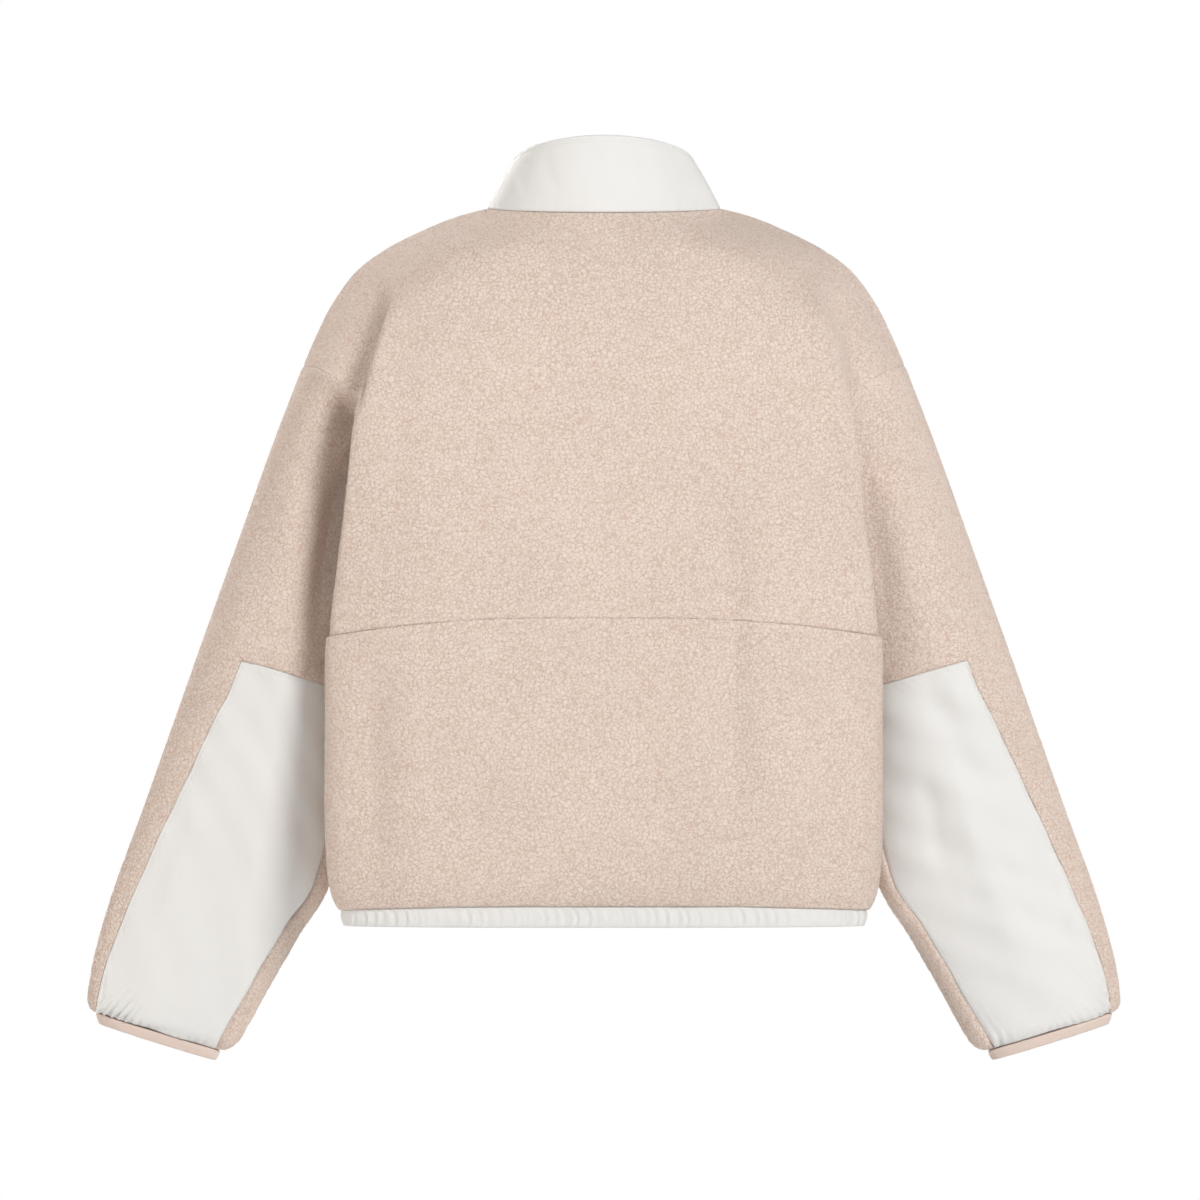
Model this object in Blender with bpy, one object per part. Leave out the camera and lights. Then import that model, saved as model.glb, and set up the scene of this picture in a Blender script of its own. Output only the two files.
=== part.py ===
"""A cropped fleece jacket, zipped up and filled out as if worn, with nobody in it.

Each cut and sewn piece is a thin wall of cloth, and the zip is built of its hard pieces.
The tables hold the jacket's sections, in millimetres, for the wearer's left side (+X),
and the right side mirrors them. +Z is up, the front faces -Y, and the origin is midway
between the two neck points of the shoulder seams.
"""

import math

import bpy
import numpy as np

MM = 0.001

# Walls and seams
FLEECE_WALL = 3.0
WOVEN_WALL = 1.2
COLLAR_WALL = 2.0
BAND_WALL = 2.4
BINDING_WALL = 2.5
SEAM_GAP = 0.4
SHARPEST_BEND = 0.7  # the wall is kept full up to this cosine of a bend
LAP_LIFT = 2.4  # the lower back lies this far over the upper back
PANEL_RECESS = 0.9  # the thin forearm panel lies below the pile beside it

# Neck and shoulders
NECK_HALF = 88.0
SHOULDER_Y = -5.0
BACK_NECK = (62.0, -5.3)  # y, z at the centre back
FRONT_NECK = (-72.0, -55.0)  # y, z at the centre front
FRONT_EDGE = 6.0  # each front ends this far from the middle of the zip
SHOULDER_LINE = (  # x, z along the shoulder, from the neck point to the armhole
    (88.0, 0.0),
    (108.0, -5.0),
    (138.0, -17.0),
    (167.0, -32.0),
    (187.0, -47.0),
    (199.0, -62.0),
    (209.0, -78.0),
    (217.0, -95.0),
    (227.0, -119.0),
)

# Armhole: a slanting ring from the end of the shoulder round to the underarm
ARMHOLE_TOP = (227.0, -119.0)  # x, z
UNDERARM = (152.0, -225.0)  # x, z
ARMHOLE_DEPTH = 80.0  # half its size from front to back
ARMHOLE_LIFT = 24.0  # its front and back stand this far above its middle
ARMHOLE_ANGLES = (0.0, 22.0, 45.0, 70.0, 98.0, 135.0, 180.0)  # where body rows 0 to 6 end

# Body rows 1 to 11, from below the neck to the hem seam.
# mid: the centre line; blade: below the neck point; fold: where the body rolls over the
# sleeve; crease: the hollow between the fold and the armhole or side seam.
BLADE_X = (90.0, 98.0)  # at the first and the last row
BACK_ROWS = (
    # mid_y, mid_z, blade_y, blade_z, fold_x, fold_y, fold_z, crease_x, crease_y
    (80.0, -33.0, 66.0, -30.0, 160.0, 44.0, -52.0, 196.0, 36.0),
    (97.0, -75.0, 91.0, -74.0, 165.0, 78.0, -84.0, 190.0, 63.0),
    (107.0, -118.0, 105.0, -118.0, 179.0, 90.0, -121.0, 187.0, 77.0),
    (112.0, -160.0, 111.0, -160.0, 186.0, 93.0, -158.0, 181.0, 84.0),
    (115.0, -200.0, 114.0, -200.0, 190.5, 91.0, -196.0, 168.0, 76.0),
    (117.0, -240.0, 116.0, -240.0, 195.0, 88.0, -235.0, 161.0, 63.0),
    (118.0, -309.5, 117.0, -310.8, 205.5, 78.0, -323.8, 179.0, 46.0),
    (118.0, -390.0, 117.0, -391.0, 206.2, 73.0, -396.0, 194.0, 36.0),
    (117.0, -460.0, 115.5, -461.0, 206.2, 70.0, -463.0, 198.0, 33.0),
    (114.0, -505.0, 112.0, -505.5, 203.5, 66.0, -507.0, 197.0, 31.0),
    (107.0, -523.3, 105.0, -523.5, 196.5, 61.0, -527.0, 191.0, 29.0),
)
FRONT_ROWS = (
    (-85.0, -78.0, -66.0, -42.0, 160.0, -52.0, -58.0, 196.0, -46.0),
    (-96.0, -106.0, -86.0, -84.0, 165.0, -80.0, -88.0, 190.0, -71.0),
    (-104.0, -136.0, -99.0, -124.0, 177.0, -93.0, -124.0, 187.0, -87.0),
    (-110.0, -170.0, -107.0, -164.0, 183.0, -99.0, -160.0, 180.0, -93.0),
    (-113.0, -205.0, -111.0, -202.0, 187.0, -99.0, -197.0, 167.0, -88.0),
    (-115.0, -240.0, -113.0, -240.0, 190.0, -98.0, -235.0, 160.0, -74.0),
    (-116.0, -309.5, -114.0, -311.0, 200.0, -90.0, -320.0, 177.0, -60.0),
    (-115.0, -390.0, -113.0, -391.0, 201.0, -86.0, -394.0, 186.0, -53.0),
    (-113.0, -460.0, -111.0, -461.0, 201.0, -84.0, -462.0, 190.0, -50.0),
    (-110.0, -505.0, -108.0, -505.0, 198.0, -80.0, -506.0, 193.0, -48.0),
    (-103.0, -523.3, -101.0, -523.5, 192.0, -75.0, -526.0, 188.0, -45.0),
)
SIDE_SEAM = (  # x, z where rows 7 to 11 end
    (165.0, -322.0),
    (179.0, -394.0),
    (187.0, -461.0),
    (192.0, -506.0),
    (188.5, -526.0),
)
UNDERARM_ROW = 6
YOKE_ROW = 7
# Where the cloth's facets lie, counted in table rows
UPPER_STEPS = (0, 0.6, 1.2, 1.8, 2.4, 3, 3.5, 4, 4.5, 5, 5.5, 6)
YOKE_STEPS = (6.5, 7)
LOWER_STEPS = (7.7, 8.4, 9.2, 10, 10.5, 11)
NECK_COLUMNS = 5  # facets from the middle to the blade line
# Which facet of a row falls on its mid, blade, corner, fold, crease and edge point
ROW_COLUMNS = (0, 5, 7, 10, 12, 14)

SLEEVE_ROWS = (
    # outer edge x, z; inner edge x, z; half depth; mid y; lift; the angles of the forearm
    # panel's two long edges, from the outer edge round the back
    (227.0, -119.0, 152.0, -225.0, 80.0, -5.0, 24.0, 40.0, 157.0),
    (249.0, -176.0, 164.0, -245.0, 62.0, -5.0, 11.0, 48.0, 154.0),
    (272.0, -240.0, 173.0, -290.0, 60.0, -6.0, 3.0, 56.0, 150.0),
    (305.0, -332.0, 187.0, -366.0, 56.0, -9.0, 0.0, 62.5, 147.0),
    (326.0, -391.0, 194.0, -432.0, 48.0, -14.0, 0.0, 52.7, 150.0),
    (350.0, -458.0, 206.0, -507.0, 37.0, -19.0, 0.0, 42.2, 150.8),
    (371.0, -515.0, 232.0, -552.0, 31.0, -24.0, 0.0, 38.4, 145.8),
    (385.0, -562.0, 255.0, -592.0, 28.0, -28.0, 0.0, 32.9, 143.6),
    (390.5, -592.0, 271.0, -621.0, 26.0, -30.0, 0.0, 30.0, 141.5),
    (390.0, -603.0, 279.5, -633.0, 25.0, -31.0, 0.0, 27.0, 142.8),
    (384.8, -608.4, 290.7, -637.0, 21.0, -32.0, 0.0, 20.0, 155.0),
)
PANEL_TOP_ROW = 3
SLEEVE_STEPS = (0, 0.5, 1, 1.6, 2.3, 3, 3.5, 4, 4.5, 5, 5.5, 6, 7, 8, 9, 10)
PANEL_EDGES = (3, 10)  # the ring points that the panel's long edges follow
CUFF_END = (381.8, -617.5, 294.4, -644.6, 19.5, -32.5, 0.0)  # a sleeve row without angles

# Collar
COLLAR_TOP_Z = 53.5  # at the centre back
COLLAR_TOP_HALF = 67.0
COLLAR_TOP_DEPTH = 60.0  # half its size from front to back
COLLAR_TOP_Y = -10.0
COLLAR_SLOPE = 0.3  # the top edge falls this much for each millimetre towards the front
COLLAR_STEPS = (0.0, 0.35, 0.7, 1.0)
COLLAR_BOW = 1.5

# Hem band
HEM_END_Z = -540.7
HEM_DRAW = 2.0  # its lower edge is drawn in this far

# Zip. Heights are counted from the skin's line, outwards; lengths run down the zip.
TAPE_INNER, TAPE_OUTER = 1.6, 12.5
TAPE_DEPTH, TAPE_WALL = 4.6, 0.8  # the tape lies behind the fronts
TAPE_ENDS = (2.0, 1.0)  # below the collar's top edge, above the hem's lower edge
OFF_TAPE = 0.3
CHAIN_HALF, CHAIN_WALL = 2.9, 2.2
CHAIN_END = 10.0  # above the hem's lower edge
BOX_HALF, BOX_WALL = 4.0, 2.8
BOX_ENDS = (8.6, 1.0)  # both above the hem's lower edge
SLIDER_AT = 12.0  # its middle, below the collar's top edge
SLIDER_HALF, SLIDER_LONG, SLIDER_WALL = 4.2, 12.0, 4.6
SLIDER_GAP = 0.4  # to the tape and to the chain
SLIDER_EDGE = 0.8
BAIL_HALF, BAIL_WIRE = 0.8, 1.3
BAIL_OUT, BAIL_TALL = 4.3, 8.0
BAIL_ROOT, BAIL_CORNER = 0.6, 1.2
HINGE_DROP = 0.9  # the tab hangs this far below the bail's middle
TAB_HALF, TAB_LONG, TAB_WALL = 3.4, 25.0, 1.4
TAB_BAR, TAB_CORNER = 0.7, 0.8
TAB_WINDOW_HALF, TAB_WINDOW_END, TAB_CUTTER = 1.5, -5.4, 2.0

# Colours, roughness
FLEECE = ("fleece", (0.71, 0.57, 0.48), 0.95)
WOVEN = ("woven nylon", (0.80, 0.79, 0.76), 0.55)
KNIT = ("cuff knit", (0.63, 0.50, 0.42), 0.85)
TAPE = ("zip tape", (0.66, 0.53, 0.45), 0.8)
PLASTIC = ("zip plastic", (0.68, 0.56, 0.48), 0.4)


def curve_through(points, knots, at):
    """The smooth curve that passes through the points at the knots, read at `at`."""
    points, knots, at = np.asarray(points, float), np.asarray(knots, float), np.asarray(at, float)
    spans = np.diff(knots)
    shape = (-1,) + (1,) * (points.ndim - 1)
    slopes = np.diff(points, axis=0) / spans.reshape(shape)
    before, after = spans[:-1].reshape(shape), spans[1:].reshape(shape)
    middle = (after * slopes[:-1] + before * slopes[1:]) / (before + after)
    first = 1.5 * slopes[:1] - 0.5 * middle[:1]
    last = 1.5 * slopes[-1:] - 0.5 * middle[-1:]
    turns = np.concatenate([first, middle, last])
    i = np.clip(np.searchsorted(knots, at, side="right") - 1, 0, len(spans) - 1)
    h = spans[i].reshape(shape)
    t = ((at - knots[i]) / spans[i]).reshape(shape)
    return (
        (1 + 2 * t) * (1 - t) ** 2 * points[i]
        + t * (1 - t) ** 2 * h * turns[i]
        + t * t * (3 - 2 * t) * points[i + 1]
        - t * t * (1 - t) * h * turns[i + 1]
    )


def chords(points):
    """How far along its chords each point lies."""
    steps = np.linalg.norm(np.diff(points, axis=0), axis=1)
    return np.concatenate([[0.0], np.cumsum(steps)])


def ease(share):
    share = np.clip(share, 0.0, 1.0)
    return share * share * (3 - 2 * share)


def ring_point(angle, outer, inner, depth, mid_y, lift):
    """A point of a sleeve's section: 0 at the outer edge, 90 at the back, 180 underarm."""
    turn = math.radians(angle)
    middle = [(a + b) / 2 for a, b in zip(outer, inner)]
    half = [(a - b) / 2 for a, b in zip(outer, inner)]
    rise = lift * math.sin(turn) ** 2
    return (
        middle[0] + half[0] * math.cos(turn) - 0.2 * rise,
        mid_y + depth * math.sin(turn),
        middle[1] + half[1] * math.cos(turn) + rise,
    )


def armhole_point(angle):
    return ring_point(angle, ARMHOLE_TOP, UNDERARM, ARMHOLE_DEPTH, SHOULDER_Y, ARMHOLE_LIFT)


def top_row(side):
    """The neck seam from the middle to the neck point, then the shoulder seam."""
    mid_y, mid_z = BACK_NECK if side > 0 else FRONT_NECK
    power = 1.0 if side > 0 else 1.4
    neck = []
    for column in range(NECK_COLUMNS):
        turn = math.radians(90 * column / NECK_COLUMNS)
        y = SHOULDER_Y + (mid_y - SHOULDER_Y) * math.cos(turn)
        neck.append((NECK_HALF * math.sin(turn), y, mid_z * math.cos(turn) ** power))
    line = np.array([(x, SHOULDER_Y, z) for x, z in SHOULDER_LINE])
    along = chords(line)
    count = ROW_COLUMNS[-1] - NECK_COLUMNS
    return np.concatenate([neck, curve_through(line, along, np.linspace(0, along[-1], count + 1))])


def body_row(side, row):
    """One section of the body, from the middle to the armhole or side seam."""
    if row == 0:
        return top_row(side)
    table = BACK_ROWS if side > 0 else FRONT_ROWS
    mid_y, mid_z, blade_y, blade_z, fold_x, fold_y, fold_z, crease_x, crease_y = table[row - 1]
    if row <= UNDERARM_ROW:
        edge = armhole_point(side * ARMHOLE_ANGLES[row])
    else:
        seam_x, seam_z = SIDE_SEAM[row - YOKE_ROW]
        edge = (seam_x, SHOULDER_Y, seam_z)
    share = (row - 1) / (len(table) - 1)
    blade_x = BLADE_X[0] + (BLADE_X[1] - BLADE_X[0]) * share
    corner = (
        blade_x + 0.55 * (fold_x - blade_x),
        fold_y + 0.72 * (blade_y - fold_y),
        blade_z + 0.4 * (fold_z - blade_z),
    )
    anchors = np.array([
        (-blade_x, blade_y, blade_z),
        (0.0, mid_y, mid_z),
        (blade_x, blade_y, blade_z),
        corner,
        (fold_x, fold_y, fold_z),
        (crease_x, crease_y, (fold_z + edge[2]) / 2),
        edge,
    ])
    along = chords(anchors)
    columns = np.arange(ROW_COLUMNS[-1] + 1)
    return curve_through(anchors, along, np.interp(columns, ROW_COLUMNS, along[1:]))


def body_half(side, steps):
    """Rows of the body at the given steps, for +X. The armhole's edge ends at the underarm."""
    last = len(BACK_ROWS)
    rows = np.array([body_row(side, row) for row in range(last + 1)])
    knots = np.arange(last + 1)
    steps = np.asarray(steps, float)
    smooth = curve_through(rows, knots, steps)
    split = UNDERARM_ROW
    above = curve_through(rows[: split + 1], knots[: split + 1], np.minimum(steps, split))
    below = curve_through(rows[split:], knots[split:], np.maximum(steps, split))
    broken = np.where((steps <= split)[:, None, None], above, below)
    crease = ROW_COLUMNS[-3]
    share = ease((np.arange(rows.shape[1]) - crease) / (ROW_COLUMNS[-1] - crease))[None, :, None]
    return smooth * (1 - share) + broken * share


def mirrored(points):
    return points * np.array([-1.0, 1.0, 1.0])


def ring_angles(panel_out, panel_in):
    """The angles of a ring's points, from the outer edge forwards, for these panel edges."""
    base = curve_through(ARMHOLE_ANGLES, range(UNDERARM_ROW + 1), UPPER_STEPS)
    first, last = PANEL_EDGES
    back = np.interp(base, (0, base[first], base[last], 180), (0, panel_out, panel_in, 180))
    return np.concatenate([back, 360 - base[-2::-1]])[::-1]


def ring(outer_x, outer_z, inner_x, inner_z, depth, mid_y, lift, angles):
    """One section of the sleeve, from a row of its table."""
    outer, inner = (outer_x, outer_z), (inner_x, inner_z)
    return [ring_point(angle, outer, inner, depth, mid_y, lift) for angle in angles]


def sleeve_grid(armhole):
    """The left sleeve, from the armhole's ring to the cuff."""
    table = curve_through(SLEEVE_ROWS, range(len(SLEEVE_ROWS)), SLEEVE_STEPS)
    grid = np.array([ring(*row[:-2], ring_angles(*row[-2:])) for row in table])
    fade = np.clip(1 - np.array(SLEEVE_STEPS), 0, 1)[:, None, None]
    return grid + (armhole - grid[0]) * fade


def binding_grid(sleeve):
    """The cuff binding carries on from the sleeve's last ring."""
    return np.array([sleeve[-1], ring(*CUFF_END, ring_angles(*SLEEVE_ROWS[-1][-2:]))])


def collar_grid(neck):
    """The stand collar, from its top edge down to the neck seam."""
    top = []
    for x, y, _ in neck:
        turn = math.atan2(x / NECK_HALF, (y - SHOULDER_Y) / abs(BACK_NECK[0] - SHOULDER_Y))
        top_x = COLLAR_TOP_HALF * math.sin(turn)
        if abs(x) <= FRONT_EDGE and y < 0:
            top_x = x
        top_y = COLLAR_TOP_Y + COLLAR_TOP_DEPTH * math.cos(turn)
        fall = COLLAR_SLOPE * (COLLAR_TOP_Y + COLLAR_TOP_DEPTH - top_y)
        top.append((top_x, top_y, COLLAR_TOP_Z - fall))
    top = np.array(top)
    out = neck - neck.mean(axis=0)
    out[:, 2] = 0.0
    out /= np.linalg.norm(out, axis=1)[:, None]
    out[np.abs(neck[:, 0]) <= FRONT_EDGE, 0] = 0.0
    rows = []
    for share in COLLAR_STEPS:
        bow = COLLAR_BOW * math.sin(math.pi * share)
        rows.append(top + (neck - top) * share + out * bow)
    return np.array(rows)


def hem_grid(seam):
    """The elastic band below the hem seam, drawn in a little at its lower edge."""
    inward = np.roll(seam, -1, axis=0) - np.roll(seam, 1, axis=0)
    inward[0], inward[-1] = seam[1] - seam[0], seam[-1] - seam[-2]
    out = np.stack([-inward[:, 1], inward[:, 0], 0 * inward[:, 0]], axis=1)
    out /= np.linalg.norm(out, axis=1)[:, None]
    out[[0, -1], 0] = 0.0
    end = seam - out * HEM_DRAW
    end[:, 2] = HEM_END_Z
    return np.array([seam, end])


def key_of(point):
    return tuple(np.round(point, 3))


class Skin:
    """The cloth's outer face: grids of points whose normals are shared at the seams."""

    def __init__(self):
        self.faces = {}
        self.sheets = {}

    def add(self, *grids):
        """Adds one sheet. Where sheets meet, each counts the same."""
        sheet = {}
        for grid in grids:
            for quad in quads_of(grid, None):
                corners = grid.reshape(-1, 3)[list(quad)]
                normal = np.cross(corners[2] - corners[0], corners[3] - corners[1])
                for corner in corners:
                    key = key_of(corner)
                    sheet[key] = sheet.get(key, 0) + normal
                    self.faces.setdefault(key, []).append(normal / np.linalg.norm(normal))
        for key, normal in sheet.items():
            self.sheets[key] = self.sheets.get(key, 0) + normal / np.linalg.norm(normal)

    def normal(self, point):
        """The direction out of the cloth, longer where the cloth is bent, to keep its wall."""
        key = key_of(point)
        normal = self.sheets[key] / np.linalg.norm(self.sheets[key])
        bend = (np.array(self.faces[key]) @ normal).mean()
        return normal / max(bend, SHARPEST_BEND)


def quads_of(grid, keep):
    """The grid's quads as four indices each; keep says which cells belong to the piece."""
    rows, columns = grid.shape[:2]
    for row in range(rows - 1):
        for column in range(columns - 1):
            if keep is None or keep[row, column]:
                a = row * columns + column
                yield (a, a + 1, a + columns + 1, a + columns)


def halves_of(face, points, normals):
    """A quad cut along the diagonal that lies deeper, so that no facet bulges outwards."""
    a, b, c, d = face
    out = normals[face].sum(axis=0)
    if (points[a] + points[c] - points[b] - points[d]) @ out < 0:
        return [(a, b, c), (a, c, d)]
    return [(b, c, d), (b, d, a)]


def cloth_piece(name, skin, grid, finish, wall, keep=None, lift=None):
    """A closed wall of cloth under the chosen cells of the grid, kept off its neighbours."""
    flat = grid.reshape(-1, 3)
    lifts = np.zeros(len(flat)) if lift is None else np.broadcast_to(lift, grid.shape[:2]).ravel()
    index, points, normals, raised = {}, [], [], []
    faces = []
    for quad in quads_of(grid, keep):
        face = []
        for corner in quad:
            key = key_of(flat[corner])
            if key not in index:
                index[key] = len(points)
                points.append(flat[corner])
                normals.append(skin.normal(flat[corner]))
                raised.append(lifts[corner])
            face.append(index[key])
        faces.append(face)
    points, normals, raised = np.array(points), np.array(normals), np.array(raised)
    uses = {}
    for face in faces:
        for a, b in zip(face, face[1:] + face[:1]):
            uses[(a, b)] = face
    rim = [edge for edge in uses if edge[::-1] not in uses]
    pull = np.zeros_like(points)
    touched = {corner for edge in rim for corner in edge}
    for face in faces:
        centre = points[face].mean(axis=0)
        for corner in face:
            if corner in touched:
                pull[corner] += centre - points[corner]
    for corner in touched:
        out = normals[corner] / np.linalg.norm(normals[corner])
        pull[corner] -= out * (pull[corner] @ out)
        pull[corner] *= SEAM_GAP / 2 / max(np.linalg.norm(pull[corner]), 1e-9)
    outer = points + pull + normals * raised[:, None]
    inner = outer - normals * wall
    count = len(points)
    shell = [half for face in faces for half in halves_of(face, outer, normals)]
    shell += [tuple(corner + count for corner in reversed(half)) for half in shell]
    for a, b in rim:
        if tuple(np.abs(points[a])) > tuple(np.abs(points[b])):
            shell += [(b, a, b + count), (a, a + count, b + count)]
        else:
            shell += [(b, a, a + count), (b, a + count, b + count)]
    return solid(name, np.concatenate([outer, inner]), shell, finish)


def material_of(finish):
    name, colour, roughness = finish
    material = bpy.data.materials.get(name)
    if material is None:
        material = bpy.data.materials.new(name)
        material.use_nodes = True
        shader = material.node_tree.nodes["Principled BSDF"]
        shader.inputs["Base Color"].default_value = (*colour, 1.0)
        shader.inputs["Roughness"].default_value = roughness
        material.diffuse_color = (*colour, 1.0)
    return material


def signed_volume(points, faces):
    """Six times the volume inside the faces, negative where they point inwards."""
    total = 0.0
    for face in faces:
        for b, c in zip(face[1:-1], face[2:]):
            total += points[face[0]] @ np.cross(points[b], points[c])
    return total


def solid(name, points, faces, finish, origin=(0.0, 0.0, 0.0)):
    """An object from points in millimetres; its origin may lie on a hinge."""
    points, origin = np.array(points, float), np.array(origin, float)
    if signed_volume(points, faces) < 0:
        faces = [tuple(reversed(face)) for face in faces]
    mesh = bpy.data.meshes.new(name)
    mesh.from_pydata([tuple(p) for p in (points - origin) * MM], [], faces)
    mesh.materials.append(material_of(finish))
    mesh.validate()
    mesh.shade_smooth()
    mesh.set_sharp_from_angle(angle=math.radians(40))
    obj = bpy.data.objects.new(name, mesh)
    obj.location = origin * MM
    bpy.context.scene.collection.objects.link(obj)
    return obj


def swept_bar(name, path, sides, height, wall, finish):
    """A flat bar that follows the centre front, between two values of x."""
    points, faces = [], []
    for (y, z), (out_y, out_z) in zip(path, path_outs(path)):
        for side, level in ((0, height), (1, height), (1, height - wall), (0, height - wall)):
            points.append((sides[side], y + out_y * level, z + out_z * level))
    last = 4 * (len(path) - 1)
    for start in range(0, last, 4):
        for corner in range(4):
            a, b = start + corner, start + (corner + 1) % 4
            faces.append((a, b, b + 4, a + 4))
    faces += [(3, 2, 1, 0), tuple(last + corner for corner in range(4))]
    return solid(name, points, faces, finish)


def path_outs(path):
    """The outward direction (y, z) at each point of a path that runs down the front."""
    along = np.gradient(path, axis=0)
    outs = np.stack([along[:, 1], -along[:, 0]], axis=1)
    return outs / np.linalg.norm(outs, axis=1)[:, None]


def cut_path(path, first, last):
    """The part of the path between two lengths along it."""
    along = chords(path)
    inside = path[(along > first + 0.5) & (along < last - 0.5)]
    ends = [np.array([np.interp(at, along, path[:, k]) for k in (0, 1)]) for at in (first, last)]
    return np.array([ends[0], *inside, ends[1]])


def plate(name, outline, spread, finish, origin=(0.0, 0.0, 0.0)):
    """A flat plate: its outline's points, moved by spread to each side."""
    outline, spread = np.array(outline, float), np.array(spread, float)
    count = len(outline)
    faces = [tuple(range(count)), tuple(range(2 * count - 1, count - 1, -1))]
    faces += [(a, a + count, (a + 1) % count + count, (a + 1) % count) for a in range(count)]
    return solid(name, np.concatenate([outline - spread, outline + spread]), faces, finish, origin)


def combine(target, helper, operation):
    """Adds the helper's shape to the target, or cuts it out."""
    change = target.modifiers.new(operation.lower(), "BOOLEAN")
    change.operation = operation
    change.object = helper
    helper.hide_render = True
    helper.display_type = "WIRE"


def build_slider(middle, out):
    """The slider with its bail; gives back y, z of the line that the pull tab turns on."""
    down = np.array([out[1], -out[0]])

    def place(along, outward):
        return (0.0, *(middle + down * along + out * outward))

    half, back, face = SLIDER_LONG / 2, SLIDER_GAP - TAPE_DEPTH, SLIDER_WALL - TAPE_DEPTH
    slope = 2 * SLIDER_EDGE
    body = [
        place(-half, back),
        place(-half, face - SLIDER_EDGE),
        place(-half + slope, face),
        place(half - slope, face),
        place(half, face - SLIDER_EDGE),
        place(half, back),
    ]
    tall, root, top = BAIL_TALL / 2, face - BAIL_ROOT, face + BAIL_OUT
    bail = [
        place(-tall, root),
        place(-tall, top - BAIL_CORNER),
        place(-tall + BAIL_CORNER, top),
        place(tall - BAIL_CORNER, top),
        place(tall, top - BAIL_CORNER),
        place(tall, root),
        place(tall - BAIL_WIRE, root),
        place(tall - BAIL_WIRE, top - BAIL_WIRE),
        place(-tall + BAIL_WIRE, top - BAIL_WIRE),
        place(-tall + BAIL_WIRE, root),
    ]
    slider = plate("zip_slider", body, (SLIDER_HALF, 0, 0), PLASTIC)
    combine(slider, plate("bail", bail, (BAIL_HALF, 0, 0), PLASTIC), "UNION")
    return place(HINGE_DROP, face + (BAIL_OUT - BAIL_WIRE) / 2)[1:]


def build_tab(y, z):
    """The pull tab: a plate with a window, whose top bar lies in the slider's bail."""
    half, top, corner, end = TAB_HALF, TAB_BAR, TAB_CORNER, -TAB_LONG
    edge = [
        (half - corner, top),
        (half, top - corner),
        (half, end + 2 * corner),
        (half - 2 * corner, end),
    ]
    outline = edge + [(-x, height) for x, height in reversed(edge)]
    hole, low = TAB_WINDOW_HALF, TAB_WINDOW_END
    window = [(-hole, -TAB_BAR), (hole, -TAB_BAR), (hole, low), (-hole, low)]

    def hung(name, points, half_wall):
        points = [(x, y, z + height) for x, height in points]
        return plate(name, points, (0, half_wall, 0), PLASTIC, (0.0, y, z))

    tab = hung("pull_tab", outline, TAB_WALL / 2)
    combine(tab, hung("tab_window", window, TAB_CUTTER), "DIFFERENCE")


def clear_scene():
    for obj in list(bpy.data.objects):
        bpy.data.objects.remove(obj, do_unlink=True)


def build_jacket():
    """Every piece of cloth; gives back the centre front's line, on which the zip lies."""
    steps = UPPER_STEPS + YOKE_STEPS + LOWER_STEPS
    back, front = body_half(1, steps), body_half(-1, steps)
    front[:, 0, 0] = FRONT_EDGE
    whole_back = np.concatenate([mirrored(back)[:, :0:-1], back], axis=1)
    front_left, front_right = front[:, ::-1], mirrored(front)
    split = len(UPPER_STEPS) - 1
    armhole = np.concatenate([back[: split + 1, -1], front[split - 1 :: -1, -1]])[::-1]
    sleeve = sleeve_grid(armhole)
    binding = binding_grid(sleeve)
    neck = np.concatenate([
        mirrored(front)[0, : NECK_COLUMNS + 1],
        mirrored(back)[0, NECK_COLUMNS - 1 : 0 : -1],
        back[0, :NECK_COLUMNS],
        front[0, NECK_COLUMNS::-1],
    ])
    collar = collar_grid(neck)
    seam = np.concatenate([
        mirrored(front)[-1, :-1], mirrored(back)[-1, :0:-1], back[-1], front[-1, -2::-1]
    ])
    hem = hem_grid(seam)

    skin = Skin()
    pairs = [(sleeve, mirrored(sleeve)[:, ::-1]), (binding, mirrored(binding)[:, ::-1])]
    skin.add(whole_back, front_left, front_right)
    for grid in (collar, hem, *pairs[0], *pairs[1]):
        skin.add(grid)

    yoke = len(UPPER_STEPS) + len(YOKE_STEPS) - 1
    columns = whole_back.shape[1]
    reach = np.abs(np.arange(columns) - columns // 2)
    lap = LAP_LIFT * (1 - ease((reach - ROW_COLUMNS[3]) / (ROW_COLUMNS[5] - ROW_COLUMNS[3])))
    cloth_piece("back_upper", skin, whole_back[: yoke + 1], FLEECE, FLEECE_WALL)
    cloth_piece("back_lower", skin, whole_back[yoke:], FLEECE, FLEECE_WALL, lift=lap)
    cloth_piece("front_left", skin, front_left, FLEECE, FLEECE_WALL)
    cloth_piece("front_right", skin, front_right, FLEECE, FLEECE_WALL)
    cloth_piece("collar", skin, collar, WOVEN, COLLAR_WALL)
    cloth_piece("hem_band", skin, hem, WOVEN, BAND_WALL)

    cells = (sleeve.shape[0] - 1, sleeve.shape[1] - 1)
    panel = np.zeros(cells, bool)
    first, last = cells[1] - PANEL_EDGES[1], cells[1] - PANEL_EDGES[0]
    panel[SLEEVE_STEPS.index(PANEL_TOP_ROW) :, first:last] = True
    for word, pair in (("left", 0), ("right", 1)):
        chosen = panel if word == "left" else panel[:, ::-1]
        grid = pairs[0][pair]
        cloth_piece(f"sleeve_{word}", skin, grid, FLEECE, FLEECE_WALL, keep=~chosen)
        cloth_piece(
            f"forearm_panel_{word}", skin, grid, WOVEN, WOVEN_WALL, keep=chosen, lift=-PANEL_RECESS
        )
        cloth_piece(f"cuff_binding_{word}", skin, pairs[1][pair], KNIT, BINDING_WALL)

    return np.concatenate([collar[:-1, -1], front[:, 0], hem[1:, -1]])[:, 1:]


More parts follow.
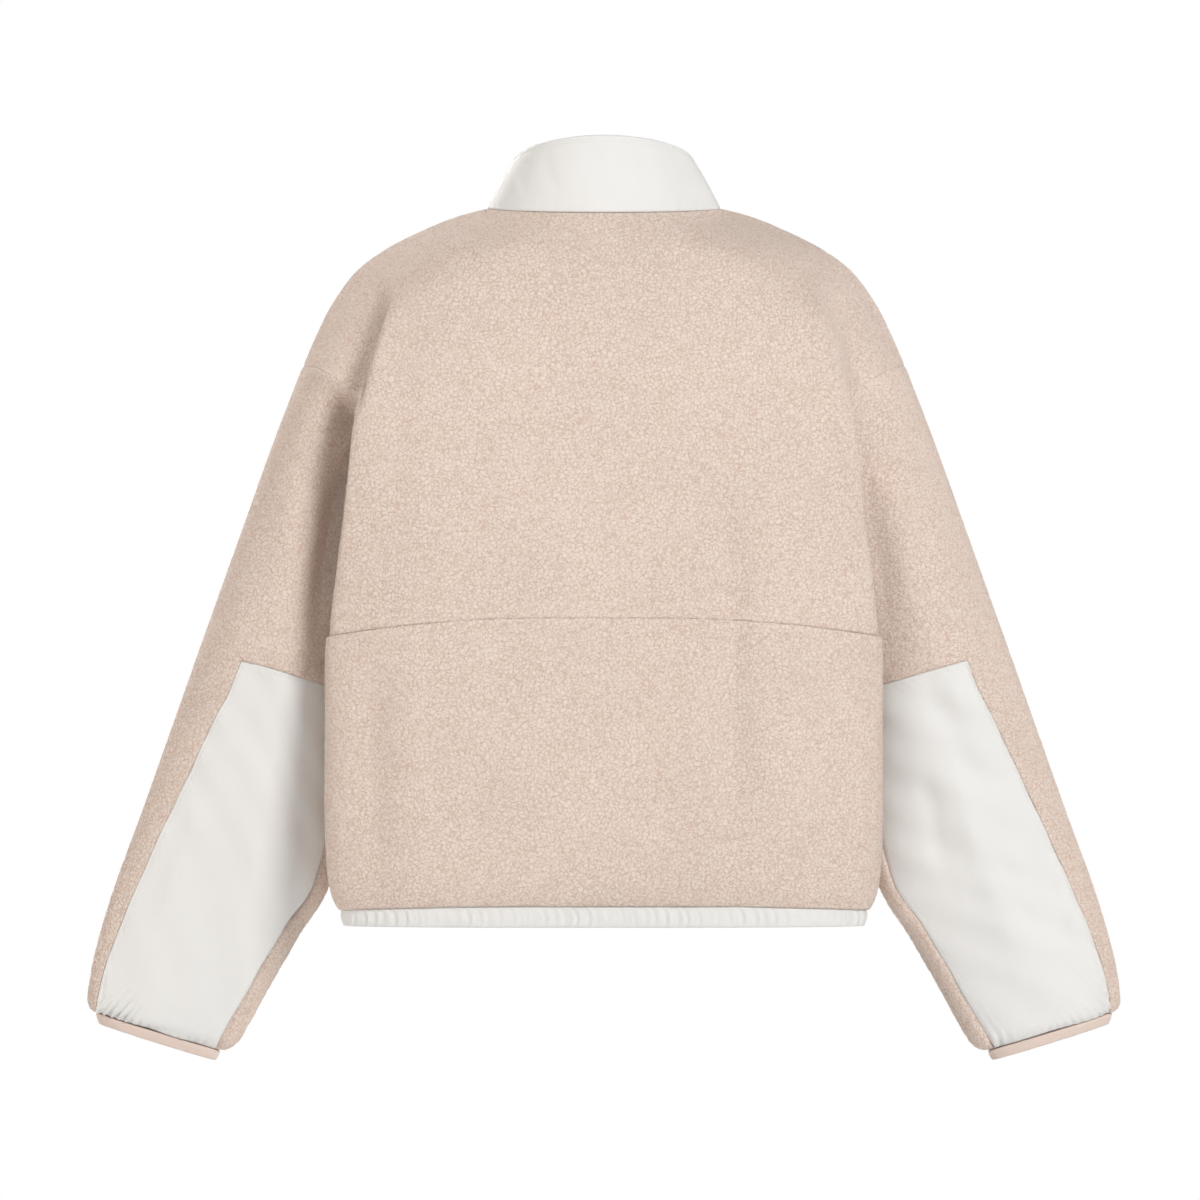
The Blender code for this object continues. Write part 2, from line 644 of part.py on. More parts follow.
def build_zip(centre):
    """The zip, along the centre front's line (y, z) from the collar's top to the hem."""
    end = chords(centre)[-1]
    tape = cut_path(centre, TAPE_ENDS[0], end - TAPE_ENDS[1])
    for word, sign in (("left", 1), ("right", -1)):
        sides = (sign * TAPE_INNER, sign * TAPE_OUTER)
        swept_bar(f"zip_tape_{word}", tape, sides, -TAPE_DEPTH, TAPE_WALL, TAPE)
    chain = cut_path(centre, SLIDER_AT + SLIDER_LONG / 2 + SLIDER_GAP, end - CHAIN_END)
    chain_top = CHAIN_WALL + OFF_TAPE - TAPE_DEPTH
    swept_bar("zip_chain", chain, (-CHAIN_HALF, CHAIN_HALF), chain_top, CHAIN_WALL, PLASTIC)
    box = cut_path(centre, end - BOX_ENDS[0], end - BOX_ENDS[1])
    box_top = BOX_WALL + OFF_TAPE - TAPE_DEPTH
    swept_bar("zip_box", box, (-BOX_HALF, BOX_HALF), box_top, BOX_WALL, PLASTIC)
    near = cut_path(centre, SLIDER_AT - SLIDER_LONG / 2, SLIDER_AT + SLIDER_LONG / 2)
    down = (near[-1] - near[0]) / np.linalg.norm(near[-1] - near[0])
    middle = cut_path(centre, SLIDER_AT, end)[0]
    build_tab(*build_slider(middle, np.array([down[1], -down[0]])))


clear_scene()
build_zip(build_jacket())
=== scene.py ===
# %% [markdown]
# # A cropped fleece jacket
# The jacket hangs zipped up and filled out, as if worn, with nobody in it. Pile fleece makes
# the body and sleeves; the stand collar, the forearm panels and the hem band are white woven
# nylon, and the cuffs are bound in knit. This notebook lays finely shaped cloth on the packed
# pieces, one step at a time, and ends with the light and the camera.

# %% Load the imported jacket
import math

import bpy
import numpy as np
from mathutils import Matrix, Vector
from mathutils.kdtree import KDTree


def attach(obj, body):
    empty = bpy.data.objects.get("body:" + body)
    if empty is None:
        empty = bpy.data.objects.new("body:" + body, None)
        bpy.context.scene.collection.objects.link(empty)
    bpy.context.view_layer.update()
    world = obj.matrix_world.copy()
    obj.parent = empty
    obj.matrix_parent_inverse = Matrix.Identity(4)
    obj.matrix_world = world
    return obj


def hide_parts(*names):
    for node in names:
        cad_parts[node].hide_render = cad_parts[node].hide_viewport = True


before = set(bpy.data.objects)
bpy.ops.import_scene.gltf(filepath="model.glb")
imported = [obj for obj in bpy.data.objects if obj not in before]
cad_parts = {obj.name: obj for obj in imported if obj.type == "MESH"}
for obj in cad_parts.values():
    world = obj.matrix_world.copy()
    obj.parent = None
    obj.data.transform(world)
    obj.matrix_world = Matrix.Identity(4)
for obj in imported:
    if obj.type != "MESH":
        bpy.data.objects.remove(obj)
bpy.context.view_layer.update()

print("packed pieces:", len(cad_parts))

# %% [markdown]
# ## The jacket's own sizes
# A sewn garment follows a pattern: a few measured lines that every piece shares. The same
# tables that shaped the solids are repeated here, in millimetres, for the wearer's left side
# (+X). Reading them at many more places gives smooth cloth that lies just on its solid, which
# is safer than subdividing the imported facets, because seams then meet by themselves.

# %% Sizes and sections
MM = 0.001
FLEECE_WALL, WOVEN_WALL, COLLAR_WALL, BAND_WALL, BINDING_WALL = 3.0, 1.2, 2.0, 2.4, 2.5
SEAM_GAP = 0.1  # between neighbouring outer faces
LAP_LIFT = 2.4  # the lower back lies this far over the upper back
PANEL_RECESS = 0.9  # the thin forearm panel lies below the pile beside it
NECK_HALF, SHOULDER_Y = 88.0, -5.0
BACK_NECK, FRONT_NECK = (62.0, -5.3), (-72.0, -55.0)  # y, z at the centre back and front
FRONT_EDGE = 6.0  # each front ends this far from the middle of the zip
SHOULDER_LINE = (  # x, z along the shoulder, from the neck point to the armhole
    (88.0, 0.0), (108.0, -5.0), (138.0, -17.0), (167.0, -32.0), (187.0, -47.0),
    (199.0, -62.0), (209.0, -78.0), (217.0, -95.0), (227.0, -119.0),
)
ARMHOLE_TOP, UNDERARM = (227.0, -119.0), (152.0, -225.0)  # x, z
ARMHOLE_DEPTH, ARMHOLE_LIFT = 80.0, 24.0
ARMHOLE_ANGLES = (0.0, 22.0, 45.0, 70.0, 98.0, 135.0, 180.0)  # where body rows 0 to 6 end
BLADE_X = (90.0, 98.0)  # at the first and the last row
BACK_ROWS = (
    # mid_y, mid_z, blade_y, blade_z, fold_x, fold_y, fold_z, crease_x, crease_y
    (80.0, -33.0, 66.0, -30.0, 160.0, 44.0, -52.0, 196.0, 36.0),
    (97.0, -75.0, 91.0, -74.0, 165.0, 78.0, -84.0, 190.0, 63.0),
    (107.0, -118.0, 105.0, -118.0, 179.0, 90.0, -121.0, 187.0, 77.0),
    (112.0, -160.0, 111.0, -160.0, 186.0, 93.0, -158.0, 181.0, 84.0),
    (115.0, -200.0, 114.0, -200.0, 190.5, 91.0, -196.0, 168.0, 76.0),
    (117.0, -240.0, 116.0, -240.0, 195.0, 88.0, -235.0, 161.0, 63.0),
    (118.0, -309.5, 117.0, -310.8, 205.5, 78.0, -323.8, 179.0, 46.0),
    (118.0, -390.0, 117.0, -391.0, 206.2, 73.0, -396.0, 194.0, 36.0),
    (117.0, -460.0, 115.5, -461.0, 206.2, 70.0, -463.0, 198.0, 33.0),
    (114.0, -505.0, 112.0, -505.5, 203.5, 66.0, -507.0, 197.0, 31.0),
    (107.0, -523.3, 105.0, -523.5, 196.5, 61.0, -527.0, 191.0, 29.0),
)
FRONT_ROWS = (
    (-85.0, -78.0, -66.0, -42.0, 160.0, -52.0, -58.0, 196.0, -46.0),
    (-96.0, -106.0, -86.0, -84.0, 165.0, -80.0, -88.0, 190.0, -71.0),
    (-104.0, -136.0, -99.0, -124.0, 177.0, -93.0, -124.0, 187.0, -87.0),
    (-110.0, -170.0, -107.0, -164.0, 183.0, -99.0, -160.0, 180.0, -93.0),
    (-113.0, -205.0, -111.0, -202.0, 187.0, -99.0, -197.0, 167.0, -88.0),
    (-115.0, -240.0, -113.0, -240.0, 190.0, -98.0, -235.0, 160.0, -74.0),
    (-116.0, -309.5, -114.0, -311.0, 200.0, -90.0, -320.0, 177.0, -60.0),
    (-115.0, -390.0, -113.0, -391.0, 201.0, -86.0, -394.0, 186.0, -53.0),
    (-113.0, -460.0, -111.0, -461.0, 201.0, -84.0, -462.0, 190.0, -50.0),
    (-110.0, -505.0, -108.0, -505.0, 198.0, -80.0, -506.0, 193.0, -48.0),
    (-103.0, -523.3, -101.0, -523.5, 192.0, -75.0, -526.0, 188.0, -45.0),
)
SIDE_SEAM = (  # x, z where rows 7 to 11 end
    (165.0, -322.0), (179.0, -394.0), (187.0, -461.0), (192.0, -506.0), (188.5, -526.0),
)
UNDERARM_ROW, YOKE_ROW = 6, 7
NECK_COLUMNS = 5
ROW_COLUMNS = (0, 5, 7, 10, 12, 14)
SLEEVE_ROWS = (
    # outer edge x, z; inner edge x, z; half depth; mid y; lift; the angles of the forearm
    # panel's two long edges, from the outer edge round the back
    (227.0, -119.0, 152.0, -225.0, 80.0, -5.0, 24.0, 40.0, 157.0),
    (249.0, -176.0, 164.0, -245.0, 62.0, -5.0, 11.0, 48.0, 154.0),
    (272.0, -240.0, 173.0, -290.0, 60.0, -6.0, 3.0, 56.0, 150.0),
    (305.0, -332.0, 187.0, -366.0, 56.0, -9.0, 0.0, 62.5, 147.0),
    (326.0, -391.0, 194.0, -432.0, 48.0, -14.0, 0.0, 52.7, 150.0),
    (350.0, -458.0, 206.0, -507.0, 37.0, -19.0, 0.0, 42.2, 150.8),
    (371.0, -515.0, 232.0, -552.0, 31.0, -24.0, 0.0, 38.4, 145.8),
    (385.0, -562.0, 255.0, -592.0, 28.0, -28.0, 0.0, 32.9, 143.6),
    (390.5, -592.0, 271.0, -621.0, 26.0, -30.0, 0.0, 30.0, 141.5),
    (390.0, -603.0, 279.5, -633.0, 25.0, -31.0, 0.0, 27.0, 142.8),
    (384.8, -608.4, 290.7, -637.0, 21.0, -32.0, 0.0, 20.0, 155.0),
)
PANEL_TOP_ROW = 3.0
PANEL_STEPS = (1.8, 5.5)  # the panel's long edges, counted in armhole rows
CUFF_END = (381.8, -617.5, 294.4, -644.6, 19.5, -32.5, 0.0)
COLLAR_TOP_Z, COLLAR_TOP_HALF, COLLAR_TOP_DEPTH = 53.5, 67.0, 60.0
COLLAR_TOP_Y, COLLAR_SLOPE, COLLAR_BOW = -10.0, 0.3, 1.5
HEM_END_Z, HEM_DRAW = -540.7, 2.0
TAPE_INNER, TAPE_OUTER, TAPE_DEPTH, TAPE_WALL = 1.6, 12.5, 4.6, 0.8
TAPE_ENDS = (2.0, 1.0)
CHAIN_HALF, CHAIN_WALL, CHAIN_START, CHAIN_END = 2.9, 2.2, 18.4, 10.0
COARSE = 1.0
print("sections: back", len(BACK_ROWS), "front", len(FRONT_ROWS), "sleeve", len(SLEEVE_ROWS))

# %% [markdown]
# ## Smooth lines through the sections
# A tailor draws a smooth line through a few marks. `curve_through` does the same in code: it
# passes through every mark with a continuous slope and doesn't overshoot as a spline can.
# The other helpers place marks evenly along a line, so that the fine facets are all about
# the same size.

# %% Curves and spacing
def curve_through(points, knots, at):
    """The smooth curve that passes through the points at the knots, read at `at`."""
    points, knots, at = np.asarray(points, float), np.asarray(knots, float), np.asarray(at, float)
    spans = np.diff(knots)
    shape = (-1,) + (1,) * (points.ndim - 1)
    slopes = np.diff(points, axis=0) / spans.reshape(shape)
    before, after = spans[:-1].reshape(shape), spans[1:].reshape(shape)
    middle = (after * slopes[:-1] + before * slopes[1:]) / (before + after)
    first = 1.5 * slopes[:1] - 0.5 * middle[:1]
    last = 1.5 * slopes[-1:] - 0.5 * middle[-1:]
    turns = np.concatenate([first, middle, last])
    i = np.clip(np.searchsorted(knots, at, side="right") - 1, 0, len(spans) - 1)
    h = spans[i].reshape(shape)
    t = ((at - knots[i]) / spans[i]).reshape(shape)
    return (
        (1 + 2 * t) * (1 - t) ** 2 * points[i]
        + t * (1 - t) ** 2 * h * turns[i]
        + t * t * (3 - 2 * t) * points[i + 1]
        - t * t * (1 - t) * h * turns[i + 1]
    )


def chords(points, axis=0):
    """How far along its chords each point lies."""
    steps = np.linalg.norm(np.diff(points, axis=axis), axis=-1)
    total = np.cumsum(steps, axis=axis)
    return np.concatenate([np.zeros_like(np.take(total, [0], axis)), total], axis=axis)


def ease(share):
    share = np.clip(share, 0.0, 1.0)
    return share * share * (3 - 2 * share)


def spread(at, along, marks, spacing):
    """Values of `at` that lie evenly in `along`, with one on each mark."""
    places = [marks[0]]
    for first, last in zip(marks, marks[1:]):
        ends = np.interp([first, last], at, along)
        count = max(round((ends[1] - ends[0]) / (spacing * COARSE)), 1)
        places += list(np.interp(np.linspace(*ends, count + 1)[1:-1], along, at)) + [last]
    return np.array(places, float)


def mirrored(points):
    return points * np.array([-1.0, 1.0, 1.0])


def unit(vectors):
    return vectors / np.maximum(np.linalg.norm(vectors, axis=-1, keepdims=True), 1e-9)

# %% [markdown]
# ## The body's surface
# Back and front each run from the neck and the shoulder seam down to the hem seam, and out
# to the armhole or the side seam. Cloth that is filled out but not lifted by an arm rolls
# over at the side and dips in front of the armhole; the fold and crease columns hold that.

# %% Body surface
def ring_point(angle, outer, inner, depth, mid_y, lift):
    """A point of a sleeve's section: 0 at the outer edge, 90 at the back, 180 underarm."""
    turn = np.radians(angle)
    cos, sin = np.cos(turn), np.sin(turn)
    rise = lift * sin**2
    return np.stack([
        (outer[0] + inner[0]) / 2 + (outer[0] - inner[0]) / 2 * cos - 0.2 * rise,
        mid_y + depth * sin,
        (outer[1] + inner[1]) / 2 + (outer[1] - inner[1]) / 2 * cos + rise,
    ], axis=-1)


def top_row(side, columns):
    """The neck seam from the middle to the neck point, then the shoulder seam."""
    mid_y, mid_z = BACK_NECK if side > 0 else FRONT_NECK
    turn = np.radians(90 * np.minimum(columns / NECK_COLUMNS, 1))
    cos = np.maximum(np.cos(turn), 0)
    y = SHOULDER_Y + (mid_y - SHOULDER_Y) * cos
    neck = np.stack([NECK_HALF * np.sin(turn), y, mid_z * cos ** (1.0 if side > 0 else 1.4)], 1)
    line = np.array([(x, SHOULDER_Y, z) for x, z in SHOULDER_LINE])
    along = chords(line)
    share = np.clip((columns - NECK_COLUMNS) / (ROW_COLUMNS[-1] - NECK_COLUMNS), 0, 1)
    shoulder = curve_through(line, along, share * along[-1])
    return np.where(columns[:, None] < NECK_COLUMNS, neck, shoulder)


def body_row(side, row, columns):
    """One section of the body, from the middle to the armhole or side seam."""
    if row == 0:
        return top_row(side, columns)
    table = BACK_ROWS if side > 0 else FRONT_ROWS
    mid_y, mid_z, blade_y, blade_z, fold_x, fold_y, fold_z, crease_x, crease_y = table[row - 1]
    if row <= UNDERARM_ROW:
        angle = side * ARMHOLE_ANGLES[row]
        edge = ring_point(angle, ARMHOLE_TOP, UNDERARM, ARMHOLE_DEPTH, SHOULDER_Y, ARMHOLE_LIFT)
    else:
        seam_x, seam_z = SIDE_SEAM[row - YOKE_ROW]
        edge = (seam_x, SHOULDER_Y, seam_z)
    blade_x = BLADE_X[0] + (BLADE_X[1] - BLADE_X[0]) * (row - 1) / (len(table) - 1)
    corner = (
        blade_x + 0.55 * (fold_x - blade_x),
        fold_y + 0.72 * (blade_y - fold_y),
        blade_z + 0.4 * (fold_z - blade_z),
    )
    anchors = np.array([
        (-blade_x, blade_y, blade_z),
        (0.0, mid_y, mid_z),
        (blade_x, blade_y, blade_z),
        corner,
        (fold_x, fold_y, fold_z),
        (crease_x, crease_y, (fold_z + edge[2]) / 2),
        edge,
    ])
    along = chords(anchors)
    return curve_through(anchors, along, np.interp(columns, ROW_COLUMNS, along[1:]))


def body_half(side, steps, columns):
    """Rows of the body at the given steps, for +X. The armhole's edge ends at the underarm."""
    last, split = len(BACK_ROWS), UNDERARM_ROW
    rows = np.array([body_row(side, row, columns) for row in range(last + 1)])
    knots = np.arange(last + 1)
    smooth = curve_through(rows, knots, steps)
    above = curve_through(rows[: split + 1], knots[: split + 1], np.minimum(steps, split))
    below = curve_through(rows[split:], knots[split:], np.maximum(steps, split))
    broken = np.where((steps <= split)[:, None, None], above, below)
    crease = ROW_COLUMNS[-3]
    share = ease((columns - crease) / (ROW_COLUMNS[-1] - crease))[None, :, None]
    half = smooth * (1 - share) + broken * share
    if side < 0:
        half[:, :, 0] += FRONT_EDGE * np.clip(1 - columns / NECK_COLUMNS, 0, 1)
    return half


def body_marks(side, spacing):
    """Steps and columns that give facets of about this size."""
    at = np.linspace(0, ROW_COLUMNS[-1], 281)
    along = np.mean([chords(body_row(side, row, at)) for row in (2, 5, 8, 10)], axis=0)
    columns = spread(at, along, (0, ROW_COLUMNS[-1]), spacing)
    at = np.linspace(0, len(BACK_ROWS), 221)
    along = chords(body_half(side, at, np.array([0.0, 5.0, 10.0]))).mean(axis=1)
    return spread(at, along, (0, UNDERARM_ROW, YOKE_ROW, len(BACK_ROWS)), spacing), columns


BACK_FACET, FRONT_FACET, SLEEVE_FACET, PANEL_FACET = 1.6, 2.0, 2.0, 1.5
back_steps, back_columns = body_marks(1, BACK_FACET)
front_steps, front_columns = body_marks(-1, FRONT_FACET)
back = body_half(1, back_steps, back_columns)
front = body_half(-1, front_steps, front_columns)
whole_back = np.concatenate([mirrored(back)[:, :0:-1], back], axis=1)
print("back grid", whole_back.shape[:2], "front grid", front.shape[:2])

# %% [markdown]
# ## The sleeves, collar, cuffs and hem
# A sleeve is a tube of slanting rings; its first ring is the armhole itself, so that body and
# sleeve share one seam. The forearm panel lets into the back of that same tube. The collar
# rises from the neck seam to a smaller, sloping top edge. The hem band and the cuff bindings
# carry on from the last row of the cloth above them.

# %% Tubes and bands
def ring_angles(steps, panel_out, panel_in):
    """The angles of a ring's points, from the outer edge forwards, for these panel edges."""
    base = curve_through(ARMHOLE_ANGLES, range(UNDERARM_ROW + 1), steps)
    edges = curve_through(ARMHOLE_ANGLES, range(UNDERARM_ROW + 1), PANEL_STEPS)
    back_half = np.interp(base, (0, *edges, 180), (0, panel_out, panel_in, 180))
    return np.concatenate([back_half, 360 - base[-2::-1]])[::-1]


def ring(steps, row, angles):
    """One section of the sleeve, from a row of its table."""
    angles = ring_angles(steps, *angles)
    return ring_point(angles, row[0:2], row[2:4], row[4], row[5], row[6])


def armhole(steps):
    """The armhole's ring on the body's own edges."""
    edge = np.array([float(ROW_COLUMNS[-1])])
    behind, before = (body_half(side, steps, edge)[:, 0] for side in (1, -1))
    return np.concatenate([behind, before[-2::-1]])[::-1]


def sleeve_marks(spacing):
    """Ring steps and rows that give facets of about this size."""
    at = np.linspace(0, UNDERARM_ROW, 121)
    dense = ring(at, SLEEVE_ROWS[3], SLEEVE_ROWS[3][-2:])
    along = chords(dense[: len(at)])[::-1]
    around = spread(at, along[0] - along, (0, *PANEL_STEPS, UNDERARM_ROW), spacing)
    at = np.linspace(0, len(SLEEVE_ROWS) - 1, 201)
    table = curve_through(SLEEVE_ROWS, range(len(SLEEVE_ROWS)), at)
    along = chords(np.array([ring(np.array([3.0]), row, row[-2:])[0] for row in table]))
    return around, spread(at, along, (0, PANEL_TOP_ROW, at[-1]), spacing)


def sleeve_grid(around, down):
    table = curve_through(SLEEVE_ROWS, range(len(SLEEVE_ROWS)), down)
    grid = np.array([ring(around, row, row[-2:]) for row in table])
    return grid + (armhole(around) - grid[0]) * ease(1 - down)[:, None, None]


def binding_grid(sleeve, around, rows):
    """The cuff binding carries on from the sleeve's last ring, a little full in the middle."""
    end = ring(around, CUFF_END, SLEEVE_ROWS[-1][-2:])
    out = unit(sleeve[-1] - sleeve[-1].mean(axis=0))
    share = np.linspace(0, 1, rows)[:, None, None]
    return sleeve[-1] + (end - sleeve[-1]) * share + out * 0.5 * np.sin(math.pi * share)


def collar_grid(columns, rows):
    """The stand collar, from its top edge down to the neck seam."""
    halves = {}
    for side in (1, -1):
        neck = top_row(side, columns)
        if side < 0:
            neck[:, 0] += FRONT_EDGE * np.clip(1 - columns / NECK_COLUMNS, 0, 1)
        turn = np.arctan2(neck[:, 0] / NECK_HALF, (neck[:, 1] - SHOULDER_Y) / 67.0)
        top = np.stack([
            COLLAR_TOP_HALF * np.sin(turn), COLLAR_TOP_Y + COLLAR_TOP_DEPTH * np.cos(turn),
            np.full(len(turn), COLLAR_TOP_Z)], 1)
        top[:, 2] -= COLLAR_SLOPE * (COLLAR_TOP_Y + COLLAR_TOP_DEPTH - top[:, 1])
        if side < 0:
            top[:, 0] += (neck[0, 0] - top[0, 0]) * np.clip(1 - columns / NECK_COLUMNS, 0, 1)
        halves[side] = np.stack([top, neck])
    behind, before = halves[1], halves[-1]
    top, neck = np.concatenate([
        mirrored(before), mirrored(behind)[:, -2:0:-1], behind[:, :-1], before[:, ::-1]], axis=1)
    out = neck - neck.mean(axis=0)
    out[:, 2] = 0.0
    share = np.linspace(0, 1, rows)[:, None, None]
    return top + (neck - top) * share + unit(out) * COLLAR_BOW * np.sin(math.pi * share)


def hem_grid(seam, rows):
    """The elastic band below the hem seam, drawn in a little at its lower edge."""
    ahead = np.gradient(seam, axis=0)
    out = unit(np.stack([-ahead[:, 1], ahead[:, 0], 0 * ahead[:, 0]], axis=1))
    out[[0, -1], 0] = 0.0
    end = seam - out * HEM_DRAW
    end[:, 2] = HEM_END_Z
    share = np.linspace(0, 1, rows)[:, None, None]
    return seam + (end - seam) * share + out * np.sin(math.pi * share)


around, down = sleeve_marks(SLEEVE_FACET)
sleeve = sleeve_grid(around, down)
fine_around, fine_down = sleeve_marks(PANEL_FACET)
fine_sleeve = sleeve_grid(fine_around, fine_down)
cuff = binding_grid(fine_sleeve, fine_around, 12)
collar = collar_grid(np.linspace(0, NECK_COLUMNS, round(90 / COARSE)), round(60 / COARSE))
seam_columns = spread(
    np.linspace(0, 14, 141), chords(body_row(1, 11, np.linspace(0, 14, 141))), (0, 14), 1.3)
ends = [body_half(side, np.array([11.0]), seam_columns)[0] for side in (1, -1)]
hem = hem_grid(np.concatenate([
    mirrored(ends[1])[:-1], mirrored(ends[0])[:0:-1], ends[0], ends[1][-2::-1]]), 16)
print("sleeve", sleeve.shape[:2], "panel", fine_sleeve.shape[:2], "collar", collar.shape[:2])

# %% [markdown]
# ## Soft folds
# Filled-out cloth never hangs dead flat: it keeps long shallow troughs where it has room,
# and short ones where a seam holds it. Each fold here is listed as a line seen from behind or
# from the front, with its own width and depth, so none repeats another. A real cloth
# simulation would drape better but not put each trough where the jacket has it.

# %% Folds
FOLD_SWAY = 0.1  # how far a fold wanders, as a share of its mean half width
FOLD_START, FOLD_REACH, FOLD_END = 4.0, 1.06, 2.2  # how soon it deepens, its end, how soon it fades
FOLDS = {
    # Each row: x, z at the top; x, z at the bottom; half width towards -X and towards +X;
    # depth, where a negative one is a ridge.
    "back": (
        (-94, -190, -99, -528, 16, 12, 5.5),
        (-66, -230, -62, -520, 17, 17, -3.6),
        (-130, -350, -136, -520, 14, 14, -2.2),
        (-160, -330, -166, -525, 11, 11, 2.0),
        (176, -330, 170, -520, 10, 13, 3.2),
        (150, -335, 140, -525, 16, 14, -1.8),
        (60, -330, 72, -515, 20, 18, 2.0),
        (12, -345, 20, -500, 18, 20, -1.4),
        (-20, -340, -22, -470, 13, 12, 1.0),
        (126, -90, 140, -250, 13, 15, -1.6),
        (98, -110, 110, -290, 16, 12, 1.5),
        (-120, -90, -138, -260, 14, 13, 2.0),
        (-155, -45, -186, -215, 7, 7, -3.6),
        (-178, -56, -202, -158, 11, 11, 8.0),
        (164, -50, 192, -162, 6, 16, 15.0),
        (158, -62, 180, -170, 8, 5, -2.5),
        (-62, -26, -30, -90, 13, 13, 1.4),
        (66, -28, 40, -100, 15, 15, 1.5),
        (4, -20, -6, -150, 24, 24, -1.2),
    ),
    "sleeve behind": (
        (181, -104, 213, -355, 8, 22, 22.0),
        (-192, -140, -216, -355, 20, 9, 5.0),
        (-206, -150, -224, -225, 10, 9, 3.0),
        (-226, -185, -262, -330, 14, 12, 3.2),
        (-250, -240, -272, -345, 9, 9, -1.8),
        (246, -200, 262, -320, 10, 12, 1.6),
        (243, -330, 300, -470, 13, 13, 3.0),
        (300, -440, 342, -560, 10, 10, -2.4),
        (252, -400, 286, -560, 11, 11, -2.2),
        (268, -480, 300, -590, 6, 8, 1.6),
        (-236, -335, -290, -455, 12, 12, 2.6),
        (-262, -430, -318, -575, 12, 12, -2.8),
        (-330, -470, -352, -580, 9, 9, 2.2),
        (-238, -420, -262, -520, 9, 9, 1.8),
    ),
    "collar": (
        (58, 38, 66, 10, 5, 5, 0.6),
        (74, 30, 60, 2, 3, 4, -0.7),
        (46, 44, 34, 4, 5, 6, 0.8),
        (12, 48, 2, 6, 8, 7, 0.8),
        (-26, 48, -38, 4, 7, 6, 0.8),
        (-60, 40, -52, 2, 5, 5, 0.7),
    ),
    "front": (
        (92, -130, 96, -525, 16, 16, 3.0),
        (58, -260, 50, -500, 15, 15, -1.8),
        (150, -300, 144, -520, 14, 14, 2.4),
        (-84, -150, -90, -500, 17, 17, 2.6),
        (-136, -250, -150, -520, 13, 13, -2.0),
        (-40, -330, -36, -515, 12, 12, 1.5),
        (126, -70, 150, -200, 12, 12, 2.0),
        (-124, -76, -150, -215, 12, 12, 2.3),
        (190, -84, 202, -146, 6, 9, 6.0),
        (-192, -86, -200, -150, 9, 6, 6.5),
    ),
    "sleeve before": (
        (190, -140, 214, -340, 9, 20, 6.0),
        (-190, -140, -214, -350, 20, 9, 5.0),
        (230, -190, 268, -330, 12, 12, 3.0),
        (-232, -200, -270, -350, 12, 12, 2.6),
        (262, -350, 320, -520, 14, 14, -2.2),
        (-262, -380, -316, -560, 13, 13, 2.4),
        (240, -420, 280, -560, 10, 10, 2.0),
    ),
}


def folded(grid, out, behind=None, before=None):
    """How far the listed folds move each point along its outward direction."""
    moved = np.zeros(grid.shape[:2])
    for word, side in ((behind, 1), (before, -1)):
        faces = np.clip(side * out[:, :, 1] * 2, 0, 1)
        for x, z, end_x, end_z, less, more, depth in FOLDS.get(word, ()):
            run = np.array([end_x - x, end_z - z], float)
            length = np.linalg.norm(run)
            away = grid[:, :, [0, 2]] - (x, z)
            along = away @ run / length**2
            across = (away @ np.array([-run[1], run[0]])) / length
            sway = FOLD_SWAY * (less + more) / 2
            across = across + sway * np.sin(2 * math.pi * along + x)
            width = np.where(across < 0, less, more)
            fade = ease(along * FOLD_START) * ease((FOLD_REACH - along) * FOLD_END)
            moved -= depth * np.exp(-((across / width) ** 2)) * fade * faces
    return moved


def gathers(along, pitch, seed):
    """Uneven little ridges, about one to each pitch, between -1 and 1."""
    drift = 0.34 * np.sin(along / (pitch * 1.9) + seed)
    drift = drift + 0.27 * np.sin(along / (pitch * 0.83) + 2 * seed)
    turn = 2 * math.pi * along / pitch + 2.2 * drift
    weight = 0.65 + 0.35 * np.sin(along / (pitch * 1.37) + 3 * seed)
    return (np.sin(turn) + 0.35 * np.sin(1.71 * turn + seed)) * weight


print("folds placed by hand:", sum(len(rows) for rows in FOLDS.values()))

# %% [markdown]
# ## A wall of cloth
# Each cut piece becomes one closed wall: a fine outer face, a plainer inner face, and a rim
# where it was cut. Solidify could do this, but it would double the fine facets, so the wall
# is made directly. Along every seam the outer face rolls in, which is what pile does where
# thread draws it down, and the neighbours then meet in a soft groove.

# %% The wall maker
surfaces = {}


def outwards(grid, tube):
    """The outward direction at each point of a grid."""
    across, ahead = np.gradient(grid, axis=1), np.gradient(grid, axis=0)
    if tube:
        across[:, 0] = across[:, -1] = (grid[:, 1] - grid[:, -2]) / 2
    return unit(np.cross(across, ahead))


def rim_of(keep, tube):
    """Which points the kept cells use, and which of these lie on the piece's rim."""
    cells = np.pad(keep, 1)
    if tube:
        cells[1:-1, 0], cells[1:-1, -1] = keep[:, -1], keep[:, 0]
    near = np.stack([cells[:-1, :-1], cells[:-1, 1:], cells[1:, :-1], cells[1:, 1:]])
    return near, near.any(axis=0), near.any(axis=0) & ~near.all(axis=0)


def rim_distance(grid, used, rim):
    """How far each used point lies from the rim."""
    tree = KDTree(int(rim.sum()))
    for index, point in enumerate(grid[rim]):
        tree.insert(point, index)
    tree.balance()
    away = np.zeros(grid.shape[:2])
    away[used] = [tree.find(point)[2] for point in grid[used]]
    return away


def lines_of(count, change, every):
    """Where the inner face's coarse cells begin and end."""
    return sorted({*range(0, count, every), count - 1, *(np.flatnonzero(change) + 1)})


